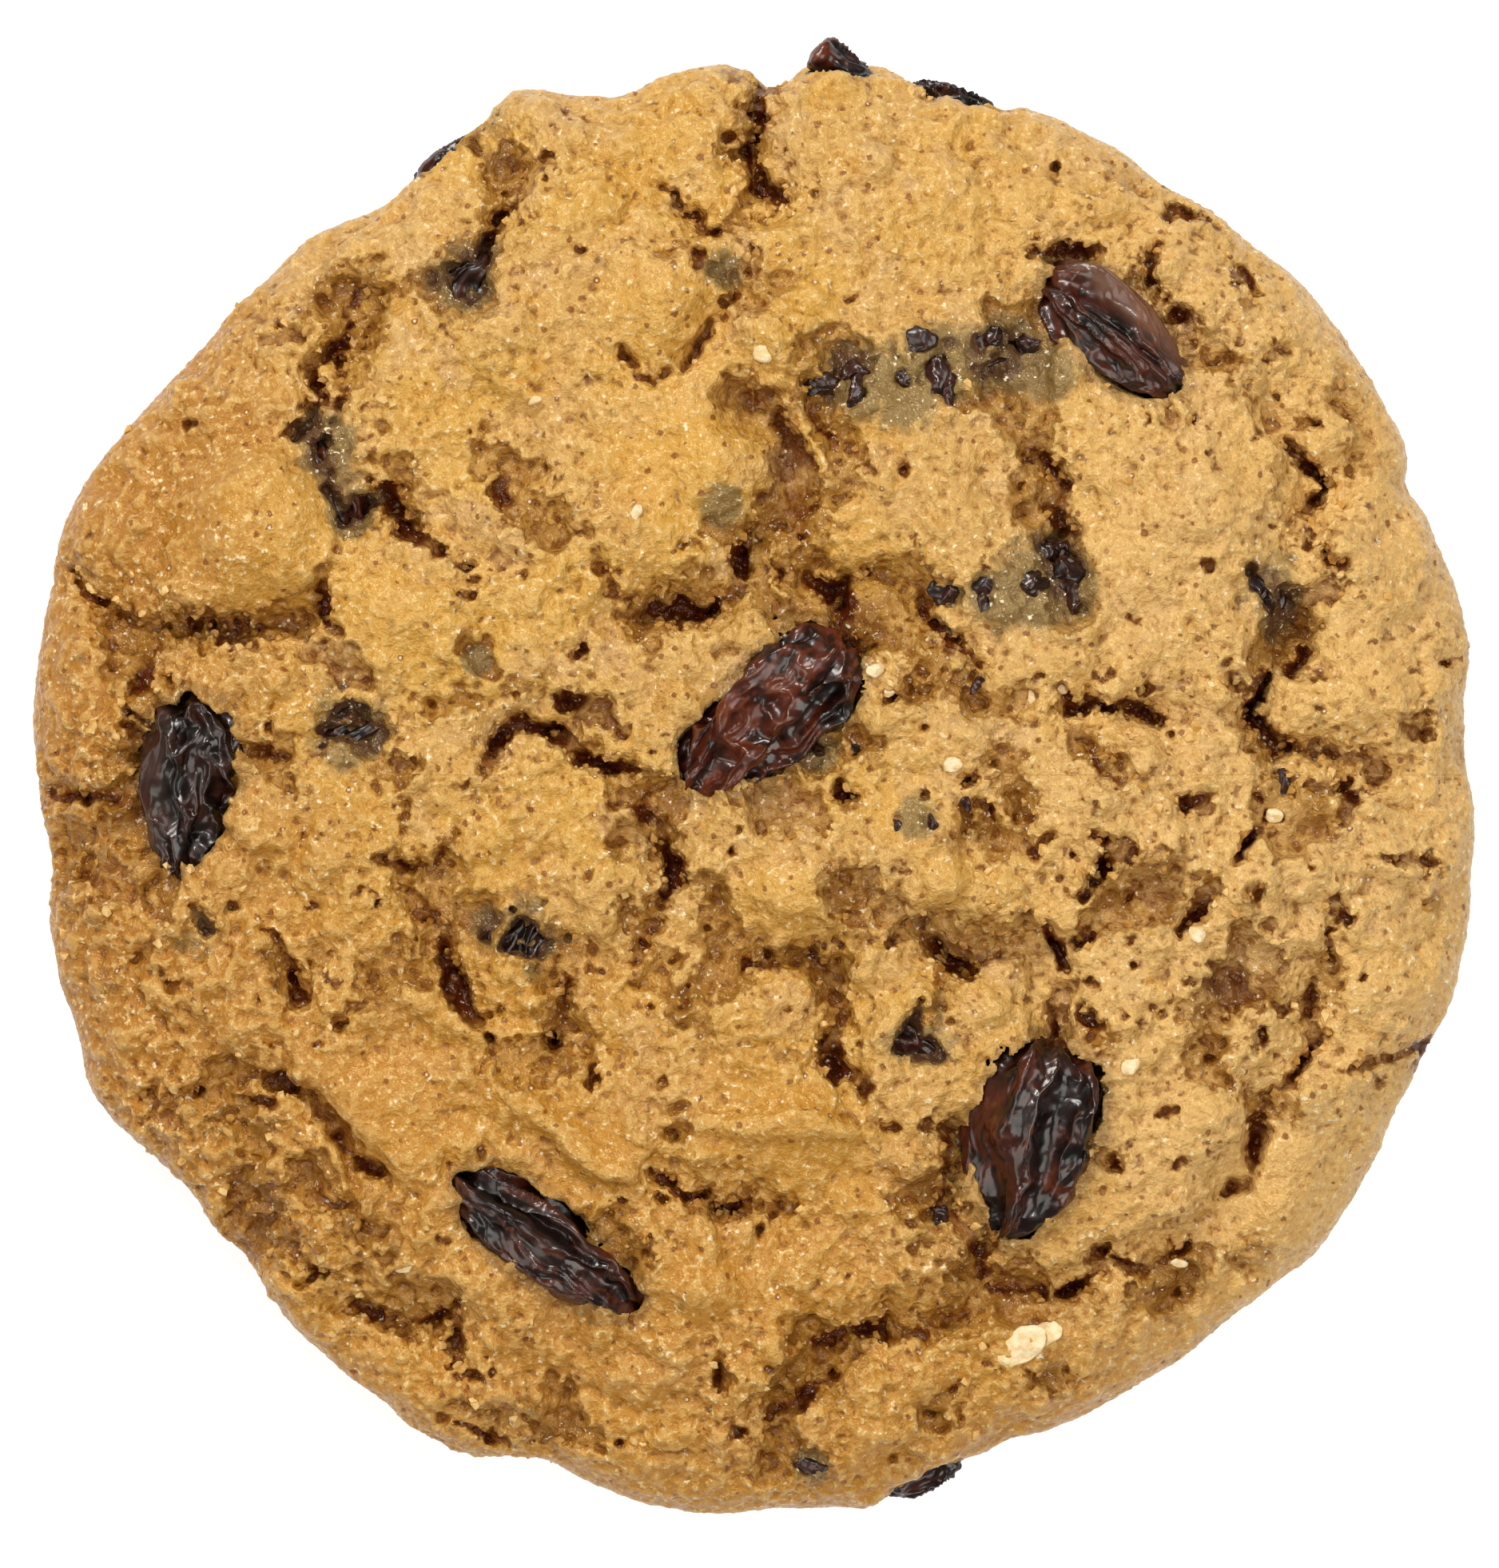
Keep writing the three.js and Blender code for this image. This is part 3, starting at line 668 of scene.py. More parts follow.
def doughRelief(piece, cloudObject, ridgeObject, shownRaisins, sunkRaisins):
    make = doughMake
    tree, geometry, position = shapeTree("doughRelief")
    normal = pointNormals(tree)
    top = ramp(tree, axis(tree, normal, "Z"), -0.1, 0.5)
    flatAt = flatten(tree, position)
    toShown = toRaisin(tree, shownRaisins, position)
    sunkFar = toRaisin(tree, sunkRaisins, position).outputs["Distance"]
    shares = tornShares(tree, cloudObject, ridgeObject, position, sunkFar)
    masks = tornMasks(tree, shares)
    edge, inner, calm = shares["edge"], shares["inner"], shares["calm"]

    # cracks, whose width and depth come and go
    groove = times(tree, ramp(tree, edge, 0.1, -0.12), ramp(tree, edge, 0, -0.8, 0.65, 1), shares["deep"])
    lip = times(tree, ramp(tree, edge, 0.0, 0.3), ramp(tree, edge, 1.6, 0.4), 0.18)

    # torn patches, steep on one side and easy on the other, and chips
    share = make["tearShare"]
    slope = ramp(tree, noise(tree, flatAt, 4 * mm, 2), 0.45, 0.62, share - 0.012, share - 0.09)
    torn = ramp(tree, shares["crust"], share + 0.004, slope)
    deeper = times(tree, masks["deeper"], make["tearDeep"] * 0.8)
    patch = total(tree, times(tree, torn, make["tearDeep"]), deeper)
    hole = total(tree, patch, times(tree, masks["chip"], make["chipDeep"]))
    hole = times(tree, hole, ramp(tree, inner, 0, 1, 0.2, 1))
    hole = times(tree, highest(tree, hole, times(tree, groove, mm)), top)
    down = upright(tree, times(tree, hole, -1))

    # soft lumps with creases all over
    warped = vectorCalc(tree, "ADD", position, shiver(tree, position, 2.5 * mm, 0.5 * mm, 2))
    toCorner = vectorCalc(tree, "DOT_PRODUCT", flatAt, (-0.7, -0.7, 0))
    rough = times(tree, ramp(tree, calm, 0, 1, 1.0, 0.35), ramp(tree, toCorner, 8 * mm, 36 * mm, 1, 1.2))
    lumps = total(
        tree,
        times(tree, billow(tree, warped, 8 * mm, 1), 1.0),
        times(tree, billow(tree, warped, 3.4 * mm, 1), rough, 0.72),
        times(tree, billow(tree, warped, 1.5 * mm, 2, 0.6), rough, 0.4),
        times(tree, swing(tree, position, 0.8 * mm, 1, 2, 0.6), rough, 0.13),
        times(tree, billow(tree, warped, 1.1 * mm, 2, 0.6), masks["torn"], 0.3),
    )
    lumps = times(tree, calc(tree, "SUBTRACT", lumps, 0.84), make["lump"])
    raised = highest(tree, times(tree, nearSpots(tree, position, knobs, 0.05), mm), shares["ridgeHigh"])
    raised = times(tree, raised, ramp(tree, edge, -0.1, 0.3))
    high = times(tree, total(tree, lumps, times(tree, lip, mm)), ramp(tree, inner, 0, 1, 0.4, 1), top)
    high = total(tree, high, times(tree, raised, top))

    # the dough closes in on the raisins and laps over their sides
    gap = vectorCalc(tree, "SUBTRACT", toShown.outputs["Position"], position)
    toward = vectorCalc(tree, "NORMALIZE", vectorCalc(tree, "MULTIPLY", gap, (1, 1, 0)))
    lapAt = vectorCalc(tree, "NORMALIZE", vectorCalc(tree, "ADD", toward, (0, 0, 0.9)))
    ragged = swing(tree, position, 2.6 * mm, 0.4 * mm, 2)
    ragged = total(tree, ragged, swing(tree, position, 0.9 * mm, 0.12 * mm, 2, 0.6))
    further = times(tree, nearSpots(tree, position, lapSpots), 0.8 * mm)
    lap = total(tree, make["lap"], ragged, further)
    lap = times(tree, lap, ramp(tree, toShown.outputs["Distance"], 1.3 * mm, 0.4 * mm))
    closing = times(tree, ramp(tree, toShown.outputs["Distance"], 1.3 * mm, 0.5 * mm), 0.8)
    offset = push(tree, down, normal, high)
    offset = push(tree, offset, gap, closing)
    offset = push(tree, offset, lapAt, lap)
    applyShape(piece, tree, movePoints(tree, geometry, offset))


def hollowness(tree, steps):
    # how far a point lies under the mean of its surroundings
    position = pointPlaces(tree)
    around = addNode(tree, "GeometryNodeBlurAttribute", data_type="FLOAT_VECTOR")
    setSocket(tree, around.inputs["Value"], position)
    around.inputs["Iterations"].default_value = steps
    under = vectorCalc(tree, "SUBTRACT", around.outputs[0], position)
    return vectorCalc(tree, "DOT_PRODUCT", under, pointNormals(tree))


def doughMarks(piece, cloudObject, ridgeObject, shownRaisins, sunkRaisins):
    # overhanging crumb, and what the material reads: lengths in mm, all else 0 to 1
    tree, geometry, position = shapeTree("doughMarks")
    height = axis(tree, position, "Z")
    sunkFar = toRaisin(tree, sunkRaisins, position).outputs["Distance"]
    rimFar = ramp(tree, height, 3.5 * mm, 2 * mm, 0, 6)
    shares = tornShares(tree, cloudObject, ridgeObject, position, sunkFar, rimFar)
    del shares["ridgeHigh"]
    for name, value in shares.items():
        geometry = store(tree, geometry, name, value)
    shares = {name: readMark(tree, name) for name in shares}
    for name, value in tornMasks(tree, shares).items():
        geometry = store(tree, geometry, name, value)
    shownFar = toRaisin(tree, shownRaisins, position).outputs["Distance"]
    x = axis(tree, position, "X")
    toCorner = vectorCalc(tree, "DOT_PRODUCT", position, (0.45, 0.9, 0))
    greyNear = ramp(tree, sunkFar, 1.5 * mm, 0.5 * mm, 0, 0.6)
    greyNear = total(tree, nearSpots(tree, position, greySpots, 0.3), greyNear)
    marks = {
        # darker dough next to the shown raisins: partly their stain, partly painted shade in the gap between
        # dough and raisin
        "stain": total(tree, ramp(tree, shownFar, 1.1 * mm, 0.3 * mm), shares["jut"]),
        "grey": total(tree, greyNear, shares["jut"], swing(tree, position, 1.3 * mm, 0.22, 3, 0.6), 0.12),
        "overSunk": ramp(tree, sunkFar, 0.6 * mm, 0.2 * mm),
        "gold": ramp(tree, noise(tree, position, 9 * mm, 3), 0.4, 0.6),
        "amber": ramp(tree, noise(tree, position, 2.6 * mm, 4, 0.6), 0.5, 0.66),
        "pink": ramp(tree, noise(tree, position, 4 * mm, 4, 0.6), 0.52, 0.66),
        "brown": total(tree, ramp(tree, x, -16 * mm, -42 * mm), swing(tree, position, 6 * mm, 0.2)),
        "pale": total(tree, ramp(tree, x, 0, 30 * mm), swing(tree, position, 5 * mm, 0.25)),
        "dull": total(tree, ramp(tree, toCorner, 4 * mm, -36 * mm), swing(tree, position, 8 * mm, 0.15)),
        "wet": ramp(tree, noise(tree, position, 3 * mm, 3), 0.4, 0.62),
        "loose": ramp(tree, noise(tree, position, 0.9 * mm, 3, 0.7), 0.36, 0.66),
    }
    for name, value in marks.items():
        geometry = store(tree, geometry, name, value)

    crumbly = highest(tree, shares["calm"], ramp(tree, shares["edge"], 0.4, 2.5, 0, 0.65))
    offset = shiver(tree, position, 0.6 * mm, 0.14 * mm, 3, 0.6)
    offset = vectorCalc(tree, "SCALE", offset, scale=ramp(tree, crumbly, 0, 1, 1, 0.4))
    offset = vectorCalc(tree, "SCALE", offset, scale=ramp(tree, height, 0.5 * mm, 3 * mm))
    tooHigh = calc(tree, "MAXIMUM", calc(tree, "SUBTRACT", height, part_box("dough")[1][2] - 0.4 * mm), 0)
    offset = push(tree, offset, (0, 0, -0.7), tooHigh)
    underside = ramp(tree, height, 0.3 * mm, 0.25 * mm, 0, -1)
    toBase = times(tree, total(tree, height, -doughMake["base"]), underside)
    offset = vectorCalc(tree, "ADD", offset, upright(tree, toBase))
    geometry = movePoints(tree, geometry, offset)
    # small hollows and peaks, which the material paints as shade in the pits and light on the peaks
    pit = total(tree, times(tree, hollowness(tree, 6), 1 / mm), times(tree, readMark(tree, "jut"), 0.04))
    geometry = store(tree, geometry, "pit", pit)
    # how hollow the surface is over a wide reach, which the material paints as shade in the hollows
    hollow = total(tree, times(tree, hollowness(tree, 60), 1 / mm), times(tree, readMark(tree, "jut"), 0.2))
    geometry = store(tree, geometry, "hollow", hollow)
    applyShape(piece, tree, geometry)


def joinedRaisins(sunk):
    names = [name for name in raisinLooks if name.startswith("sunk") == sunk]
    copies = [copyOfNode(name, name + "Copy") for name in names]
    for copy, name in zip(copies, names):
        slimRaisin(copy, name)
    return joinPieces(copies)


def topAt(piece, spot):
    # where the piece's upper side lies over or under a spot, and the way it faces there
    hit, slope = piece.ray_cast(Vector((spot.x, spot.y, 30 * mm)), Vector((0, 0, -1)))[1:3]
    return hit, slope


def coverSunkRaisins(piece):
    # a film of dough over each pit, level with the dough around it, for the windows to cut
    make = doughMake
    films = []
    for name, reach in sunkPits.items():
        middle = middleOf(name)
        ring = [Vector((math.cos(turn), math.sin(turn), 0)) for turn in range(6)]
        hits = [topAt(piece, middle + step * (reach + make["filmRing"]) * mm)[0].z for step in ring]
        level = sum(hits) / len(hits) - make["filmUnder"]
        bpy.ops.mesh.primitive_ico_sphere_add(subdivisions=4, radius=1, location=(middle.x, middle.y, level))
        film = bpy.context.object
        wide = (reach + make["filmSpare"]) * mm
        film.scale = (wide, wide, make["filmThick"] / 2)
        bpy.ops.object.transform_apply(location=False, rotation=False, scale=True)
        films.append(film)
    joinPieces([piece] + films)


def buildDough():
    make = doughMake
    piece = copyOfNode("dough", "doughCrust")
    coverSunkRaisins(piece)
    applyModifier(piece, "REMESH", mode="VOXEL", voxel_size=make["firstVoxel"])
    applyModifier(piece, "SMOOTH", factor=0.5, iterations=make["smoothing"])
    applyModifier(piece, "REMESH", mode="VOXEL", voxel_size=make["voxel"])
    applyModifier(piece, "SMOOTH", factor=0.5, iterations=3)
    dimples = [bitDimple(*bit) for bit in raisinBits]
    cloud = routePoints(crackKinds + dimples, "crackPoints")
    ridgeCloud = routePoints([ridges], "ridgePoints")
    shownRaisins, sunkRaisins = joinedRaisins(False), joinedRaisins(True)
    doughRelief(piece, cloud, ridgeCloud, shownRaisins, sunkRaisins)
    applyModifier(piece, "REMESH", mode="VOXEL", voxel_size=make["lastVoxel"])
    doughMarks(piece, cloud, ridgeCloud, shownRaisins, sunkRaisins)
    for helper in (cloud, ridgeCloud, shownRaisins, sunkRaisins):
        bpy.data.objects.remove(helper)
    print("dough relief", len(piece.data.polygons), "faces")
    return piece


def cutInQuarters(dough):
    # four quarters that just lap at their seams, as the whole has too many triangles for one piece
    make = doughMake
    material = doughMaterial()
    block = make["blockSize"]
    toMiddle = block / 2 - make["seamLap"]
    for number, (x, y) in enumerate([(1, 1), (-1, 1), (-1, -1), (1, -1)], 1):
        quarter = dough.copy()
        quarter.data = dough.data.copy()
        quarter.name = "doughCrust_" + str(number)
        scene.collection.objects.link(quarter)
        bpy.ops.mesh.primitive_cube_add(size=block, location=(x * toMiddle, y * toMiddle, 0))
        knife = bpy.context.object
        applyModifier(quarter, "BOOLEAN", operation="INTERSECT", solver="MANIFOLD", object=knife)
        bpy.data.objects.remove(knife)
        applyModifier(quarter, "TRIANGULATE")
        # the points by the seam have to stay where its neighbour's are
        points = [v for v in quarter.data.vertices if min(abs(v.co.x), abs(v.co.y)) > make["seam"]]
        quarter.vertex_groups.new(name="free").add([v.index for v in points], 1, "REPLACE")
        ratio = min(1, make["triangles"] / len(quarter.data.polygons))
        applyModifier(quarter, "DECIMATE", ratio=ratio, vertex_group="free")
        quarter.vertex_groups.clear()
        finishPiece(quarter, material, "dough", "dough", crease=55)
    bpy.data.objects.remove(dough)


def doughMaterial():
    material, tree, shader = newMaterial("bakedDough")
    at = objectPlace(tree)

    # patches of tan, gold, amber and a greyer pink, browner to one side
    calm = attribute(tree, "calm")
    colour = mixColour(tree, attribute(tree, "gold"), srgb(206, 160, 88), srgb(210, 160, 70))
    colour = paint(
        tree, colour,
        (times(tree, attribute(tree, "amber"), 0.6), (204, 144, 50)),
        (times(tree, attribute(tree, "pink"), 0.8), (204, 162, 106)),
        (times(tree, calm, 0.6), (218, 164, 72)),
        (markRamp(tree, "pale", 0, 1, 0, 0.6), (224, 182, 118)),
        (markRamp(tree, "dull", 0, 1, 0, 0.75), (186, 124, 36)),
        (markRamp(tree, "brown", 0.1, 0.9, 0, 0.9), (178, 118, 38)),
    )

    # granules of crumb, with painted light on their raised tops and painted shade between them, following the
    # bump of the same grain
    grain = noise(tree, at, 0.42 * mm, 2, 0.65)
    loose = attribute(tree, "loose")
    colour = paint(
        tree, colour,
        # painted shade between the granules
        (times(tree, ramp(tree, grain, 0.46, 0.34), ramp(tree, loose, 0, 1, 0.3, 0.65)), (166, 108, 38)),
        # painted light on the granule tops
        (times(tree, ramp(tree, grain, 0.53, 0.66), ramp(tree, loose, 0, 1, 0.35, 0.7)), (240, 204, 132)),
        # painted highlight on points that stand above their surroundings
        (markRamp(tree, "pit", 0.0, -0.06, 0, 0.4), (230, 190, 114)),
    )

    # torn crust: browner and wetter floors under a crisp ragged edge
    wet = attribute(tree, "wet")
    torn = attribute(tree, "torn")
    # the darkest red-brown is painted shade in the deepest cracks and chips
    dark = highest(tree, attribute(tree, "sunk"), times(tree, attribute(tree, "chipDark"), 0.6))
    colour = paint(
        tree, colour,
        (times(tree, torn, ramp(tree, wet, 0, 1, 0.5, 0.85)), (162, 112, 42)),
        # deeper torn floors: wetter dough, darkened further as painted shade
        (times(tree, attribute(tree, "deeper"), wet, 0.7), (130, 82, 28)),
        # painted shadow just under the overhanging edge of the torn crust
        (times(tree, attribute(tree, "under"), 0.4), (112, 58, 12)),
        # painted shade in broad hollows, browner as they deepen
        (markRamp(tree, "hollow", 0.15, 0.5, 0, 0.75), (144, 96, 36)),
        # painted shade in small pits
        (markRamp(tree, "pit", 0.03, 0.1, 0, 0.7), (122, 66, 14)),
        # chips and cracks: browner dough inside, darker with depth as painted shade
        (times(tree, attribute(tree, "chip"), 0.8), (134, 78, 20)),
        (attribute(tree, "crack"), (116, 60, 14)),
        (times(tree, dark, 0.9), (78, 22, 5)),
        # painted shade, near black, in the deepest hollows
        (markRamp(tree, "hollow", 0.5, 1.0, 0, 0.9), (66, 16, 4)),
    )

    # pores with painted shade, pale specks and near-white specks painted as glints, and stains near the
    # raisins with painted shade in their gap
    pores = addNode(tree, "ShaderNodeTexVoronoi", {"Vector": at, "Scale": 1 / (0.75 * mm)})
    drawn, far = pores.outputs["Color"], pores.outputs["Distance"]
    poreSize = ramp(tree, axis(tree, drawn, "X"), 0.4, 1, -0.1, 0.24)
    poreEdge = total(tree, far, times(tree, poreSize, -1), times(tree, grain, 0.5))
    # pale specks painted as glints
    paintedGlintSpecks = times(tree, ramp(tree, far, 0.16, 0.1), ramp(tree, axis(tree, drawn, "Y"), 0.85, 0.88))
    glints = highest(tree, ramp(tree, wet, 0, 1, 0.2, 0.8), attribute(tree, "grey"))
    colour = paint(
        tree, colour,
        # painted shade of tiny pores that have no relief of their own
        (times(tree, ramp(tree, poreEdge, 0.33, 0.23), 0.8), (132, 70, 18)),
        (times(tree, paintedGlintSpecks, 0.8), (248, 230, 192)),
        # stain near the raisins, with painted shade in the gap beside them
        (markRamp(tree, "stain", 0.5, 1.1, 0, 0.5), (104, 68, 34)),
        (markRamp(tree, "grey", 0.15, 0.9, 0, 0.75), (116, 98, 62)),
        (times(tree, attribute(tree, "overSunk"), 0.8), (84, 54, 40)),
        # painted glints: near-white specks on the grain peaks of wet and grey dough
        (times(tree, ramp(tree, grain, 0.64, 0.7), glints), (254, 240, 208)),
    )
    setSocket(tree, shader.inputs["Base Color"], colour)

    oily = highest(tree, torn, calm, attribute(tree, "grey"))
    gloss = total(tree, ramp(tree, loose, 0, 1, 0.26, 0.42), times(tree, oily, -0.12))
    setSocket(tree, shader.inputs["Roughness"], gloss)
    shader.inputs["Specular IOR Level"].default_value = 0.5
    shader.inputs["Specular Tint"].default_value = (1, 0.89, 0.7, 1)
    fineBump(tree, shader, grain, 0.22 * mm)
    return material


# Crumbs along the torn edges and on the floors

crumbMake = {
    "small": 0.12 * mm,
    "large": 0.36 * mm,
    "atEdges": 1.8,
    "onFloors": 0.1,
    "elsewhere": 0.12,
    "perArea": 1e6,  # square mm in a square metre
    "seed": 7,
}


def buildCrumbs(dough):
    make = crumbMake
    bpy.ops.mesh.primitive_ico_sphere_add(subdivisions=1, radius=1.0, location=(0, 0, 0))
    grain = bpy.context.object
    bpy.ops.object.mode_set(mode="EDIT")
    bpy.ops.mesh.select_all(action="SELECT")
    bpy.ops.transform.vertex_random(offset=0.3, uniform=1.0, seed=make["seed"])
    bpy.ops.object.mode_set(mode="OBJECT")
    piece = dough.copy()
    piece.data = dough.data.copy()
    piece.name = "looseCrumbs"
    scene.collection.objects.link(piece)

    tree, geometry, position = shapeTree("crumbScatter")
    edge, crust, calm, grey, overSunk = [
        readMark(tree, name) for name in ("edge", "crust", "calm", "grey", "overSunk")
    ]
    height = axis(tree, position, "Z")
    flatAt = flatten(tree, position)
    share = doughMake["tearShare"]
    lipShare = ramp(tree, crust, share + 0.012, share + 0.004)
    lipShare = times(tree, lipShare, ramp(tree, crust, share - 0.008, share))
    torn = highest(tree, ramp(tree, crust, share, share - 0.01), ramp(tree, edge, 0.2, -0.1))
    crackLip = times(tree, ramp(tree, edge, 0.5, 0.2), ramp(tree, edge, -0.2, 0.0))
    density = total(
        tree,
        times(tree, highest(tree, lipShare, crackLip), make["atEdges"]),
        times(tree, torn, make["onFloors"]),
        make["elsewhere"],
    )
    bald = ramp(tree, noise(tree, flatAt, 4 * mm, 2), 0.42, 0.6)
    keep = times(tree, ramp(tree, height, 3 * mm, 5 * mm), innerShare(tree, flatAt))
    keep = times(tree, keep, ramp(tree, calm, 0, 0.6, 1, 0.1))
    bare = highest(tree, ramp(tree, grey, 0.1, 0.4), ramp(tree, overSunk, 0, 0.4))
    keep = times(tree, keep, ramp(tree, bare, 0, 1, 1, 0, smooth=False))
    density = times(tree, density, keep, ramp(tree, bald, 0, 1, 0.3, 1), make["perArea"])
    scatter = {"Mesh": geometry, "Density": density, "Seed": make["seed"]}
    points = addNode(tree, "GeometryNodeDistributePointsOnFaces", scatter)
    onFloor = store(tree, points.outputs["Points"], "onFloor", torn)
    shape = meshOf(tree, grain)
    turns = {0: (0, 0, 0), 1: (6.28, 6.28, 6.28)}
    turn = addNode(tree, "FunctionNodeRandomValue", turns, data_type="FLOAT_VECTOR")
    even = addNode(tree, "FunctionNodeRandomValue").outputs[1]
    size = ramp(tree, times(tree, even, even), 0, 1, make["small"], make["large"], smooth=False)
    inputs = {"Points": onFloor, "Instance": shape, "Rotation": turn.outputs[0], "Scale": size}
    grains = addNode(tree, "GeometryNodeInstanceOnPoints", inputs).outputs[0]
    applyShape(piece, tree, addNode(tree, "GeometryNodeRealizeInstances", {0: grains}).outputs[0])
    bpy.data.objects.remove(grain)
    finishPiece(piece, crumbMaterial(), "dough", crease=30)


def crumbMaterial():
    material, tree, shader = newMaterial("looseCrumb")
    at = objectPlace(tree)
    pale = mottled(tree, at, 0.8 * mm, 2, (208, 156, 74), (238, 202, 132))
    dark = mottled(tree, at, 0.8 * mm, 2, (150, 94, 24), (190, 138, 56))
    colour = mixColour(tree, times(tree, attribute(tree, "onFloor"), 0.85), pale, dark)
    setSocket(tree, shader.inputs["Base Color"], colour)
    setSocket(tree, shader.inputs["Roughness"], ramp(tree, noise(tree, at, 1.4 * mm), 0.4, 0.6, 0.3, 0.5))
    fineBump(tree, shader, noise(tree, at, 0.15 * mm, 2), 0.06 * mm)
    return material


# The raisins

raisinMake = {
    "voxel": 0.13 * mm,
    "grow": 0.1 * mm,
    "foldDeep": 1.0 * mm,
    "creaseSize": 1.1 * mm,
    "creaseDeep": 0.1 * mm,
    "drop": 0.2 * mm,
    "full": 0.75,
}

# turn: the way it lies in plan, in degrees; fold: width of its folds in mm; lengthwise: how much they
# change along it; ring: how many lie side by side; detail: small folds among the large; smoothSide: how
# smooth its upper side is; slim: along and across; taper: wider at one end; blunt: wider at both ends
# copper: how much sheen is painted on the smooth side
plainRaisin = {
    "turn": 0, "warmth": 0.3, "fold": 2.0, "lengthwise": 0.4, "ring": 2.4, "smoothSide": 0, "copper": 0,
    "slim": (1, 1), "taper": 0, "blunt": 0.2, "detail": 1,
}
raisinLooks = {
    "raisin_1": {
        "turn": -44, "warmth": 0.7, "fold": 1.7, "lengthwise": 0.2, "slim": (1, 0.88),
        "smoothSide": 0.8, "copper": 0.7, "detail": 0.5,
    },
    "raisin_2": {
        "turn": 44, "warmth": 1.0, "fold": 1.6, "lengthwise": 0.5, "taper": 0.12, "blunt": 0.3, "detail": 0.5,
    },
    "raisin_3": {
        "turn": 86, "warmth": 0.1, "fold": 1.6, "lengthwise": 0.6, "ring": 2.0,
        "smoothSide": 0.8, "copper": 0.1, "detail": 0.6,
    },
    "raisin_4": {
        "turn": 74, "warmth": 0.6, "fold": 2.9, "lengthwise": 0.25, "taper": 0.08, "blunt": 0.35,
        "detail": 0.2,
    },
    "raisin_5": {"turn": -35, "warmth": 0.5, "fold": 1.7, "lengthwise": 0.16, "detail": 0.6},
    "rim_raisin_1": {"turn": 24, "slim": (1, 0.62)},
    "rim_raisin_2": {"turn": -8, "warmth": 1.0, "fold": 2.2, "slim": (0.7, 0.85), "taper": -0.4},
    "rim_raisin_3": {"turn": -20, "slim": (1, 0.6)},
    "rim_raisin_4": {"turn": 14, "slim": (1, 0.75)},
    "sunk_raisin_1": {"turn": 20},
    "sunk_raisin_2": {"turn": 60},
    "sunk_raisin_3": {"turn": -40},
    "sunk_raisin_4": {"turn": -72, "warmth": 0.6},
    "sunk_raisin_5": {"turn": 60},
    "sunk_raisin_6": {"turn": 80},
    "sunk_raisin_7": {"turn": 70},
    "sunk_raisin_8": {"turn": 12},
    "sunk_raisin_9": {"turn": 4},
}

# The pits in the dough over the sunk raisins: their half width in mm
sunkPits = {
    "sunk_raisin_1": 2.3, "sunk_raisin_2": 2.4, "sunk_raisin_3": 2.4, "sunk_raisin_4": 2.0,
    "sunk_raisin_5": 1.9, "sunk_raisin_6": 1.8, "sunk_raisin_7": 1.8, "sunk_raisin_8": 2.5,
    "sunk_raisin_9": 2.3,
}


def middleOf(name):
    low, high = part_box(name)
    return (Vector(low) + Vector(high)) / 2


def slimRaisin(piece, name):
    look = {**plainRaisin, **raisinLooks[name]}
    lie = Matrix.Translation(middleOf(name)) @ Matrix.Rotation(math.radians(look["turn"]), 4, "Z")
    piece.data.transform(lie.inverted())
    halfLong = max(vertex.co.x for vertex in piece.data.vertices)
    halfWide = max(vertex.co.y for vertex in piece.data.vertices)
    for vertex in piece.data.vertices:
        along, across = vertex.co.x / halfLong, vertex.co.y / halfWide
        vertex.co.y *= 1 + along * look["taper"] + along ** 2 * look["blunt"]
        if vertex.co.z > 0:
            vertex.co.z *= 1 + raisinMake["full"] * (along ** 2 + across ** 2)
    piece.data.transform(lie @ Matrix.Diagonal((*look["slim"], 1, 1)))


def raisinFolds(piece, name):
    # sharp folds that run along the raisin and meet at its ends, with sunken skin between them
    make = raisinMake
    look = {**plainRaisin, **raisinLooks[name]}
    turn = math.radians(look["turn"])
    middle = middleOf(name)
    tree, geometry, position = shapeTree(piece.name + "Folds")
    fromMiddle = vectorCalc(tree, "SUBTRACT", position, tuple(middle))
    turned = {"Vector": fromMiddle, "Axis": (0, 0, 1), "Angle": -turn}
    plain = addNode(tree, "ShaderNodeVectorRotate", turned).outputs[0]
    local = vectorCalc(tree, "ADD", plain, shiver(tree, position, 3 * mm, 0.5 * mm, 2))
    around = vectorCalc(tree, "NORMALIZE", vectorCalc(tree, "MULTIPLY", local, (0, 1, 1)))
    along = vectorCalc(tree, "MULTIPLY", local, (look["lengthwise"], 0.2, 0.2))
    foldAt = push(tree, along, around, look["ring"] * mm)
    foldAt = vectorCalc(tree, "ADD", foldAt, tuple(middle * 10))
    broad = billow(tree, foldAt, look["fold"] * mm, look["detail"])
    creaseAt = vectorCalc(tree, "ADD", local, shiver(tree, position, 1.5 * mm, 0.3 * mm, 2))
    fine = billow(tree, vectorCalc(tree, "MULTIPLY", creaseAt, (0.5, 1, 1)), make["creaseSize"], 1)
    sunk = total(tree, times(tree, broad, make["foldDeep"]), times(tree, fine, make["creaseDeep"]))
    smooth = times(tree, ramp(tree, axis(tree, plain, "Y"), 0.6 * mm, 2.0 * mm), look["smoothSide"])
    sunk = times(tree, sunk, ramp(tree, smooth, 0, 1, 1, 0.25))
    rise = calc(tree, "SUBTRACT", make["grow"], sunk)
    offset = push(tree, (0, 0, -make["drop"]), pointNormals(tree), rise)
    geometry = movePoints(tree, geometry, offset)
    # fold is read by the material for painted light on the crests and painted shade in the creases
    fold = total(tree, times(tree, broad, ramp(tree, smooth, 0, 1, 1, 0.4)), fine)
    geometry = store(tree, geometry, "fold", fold)
    geometry = store(tree, geometry, "warmth", look["warmth"])
    # where the material paints a sheen on the smooth side
    geometry = store(tree, geometry, "copper", times(tree, smooth, look["copper"]))
    applyShape(piece, tree, geometry)


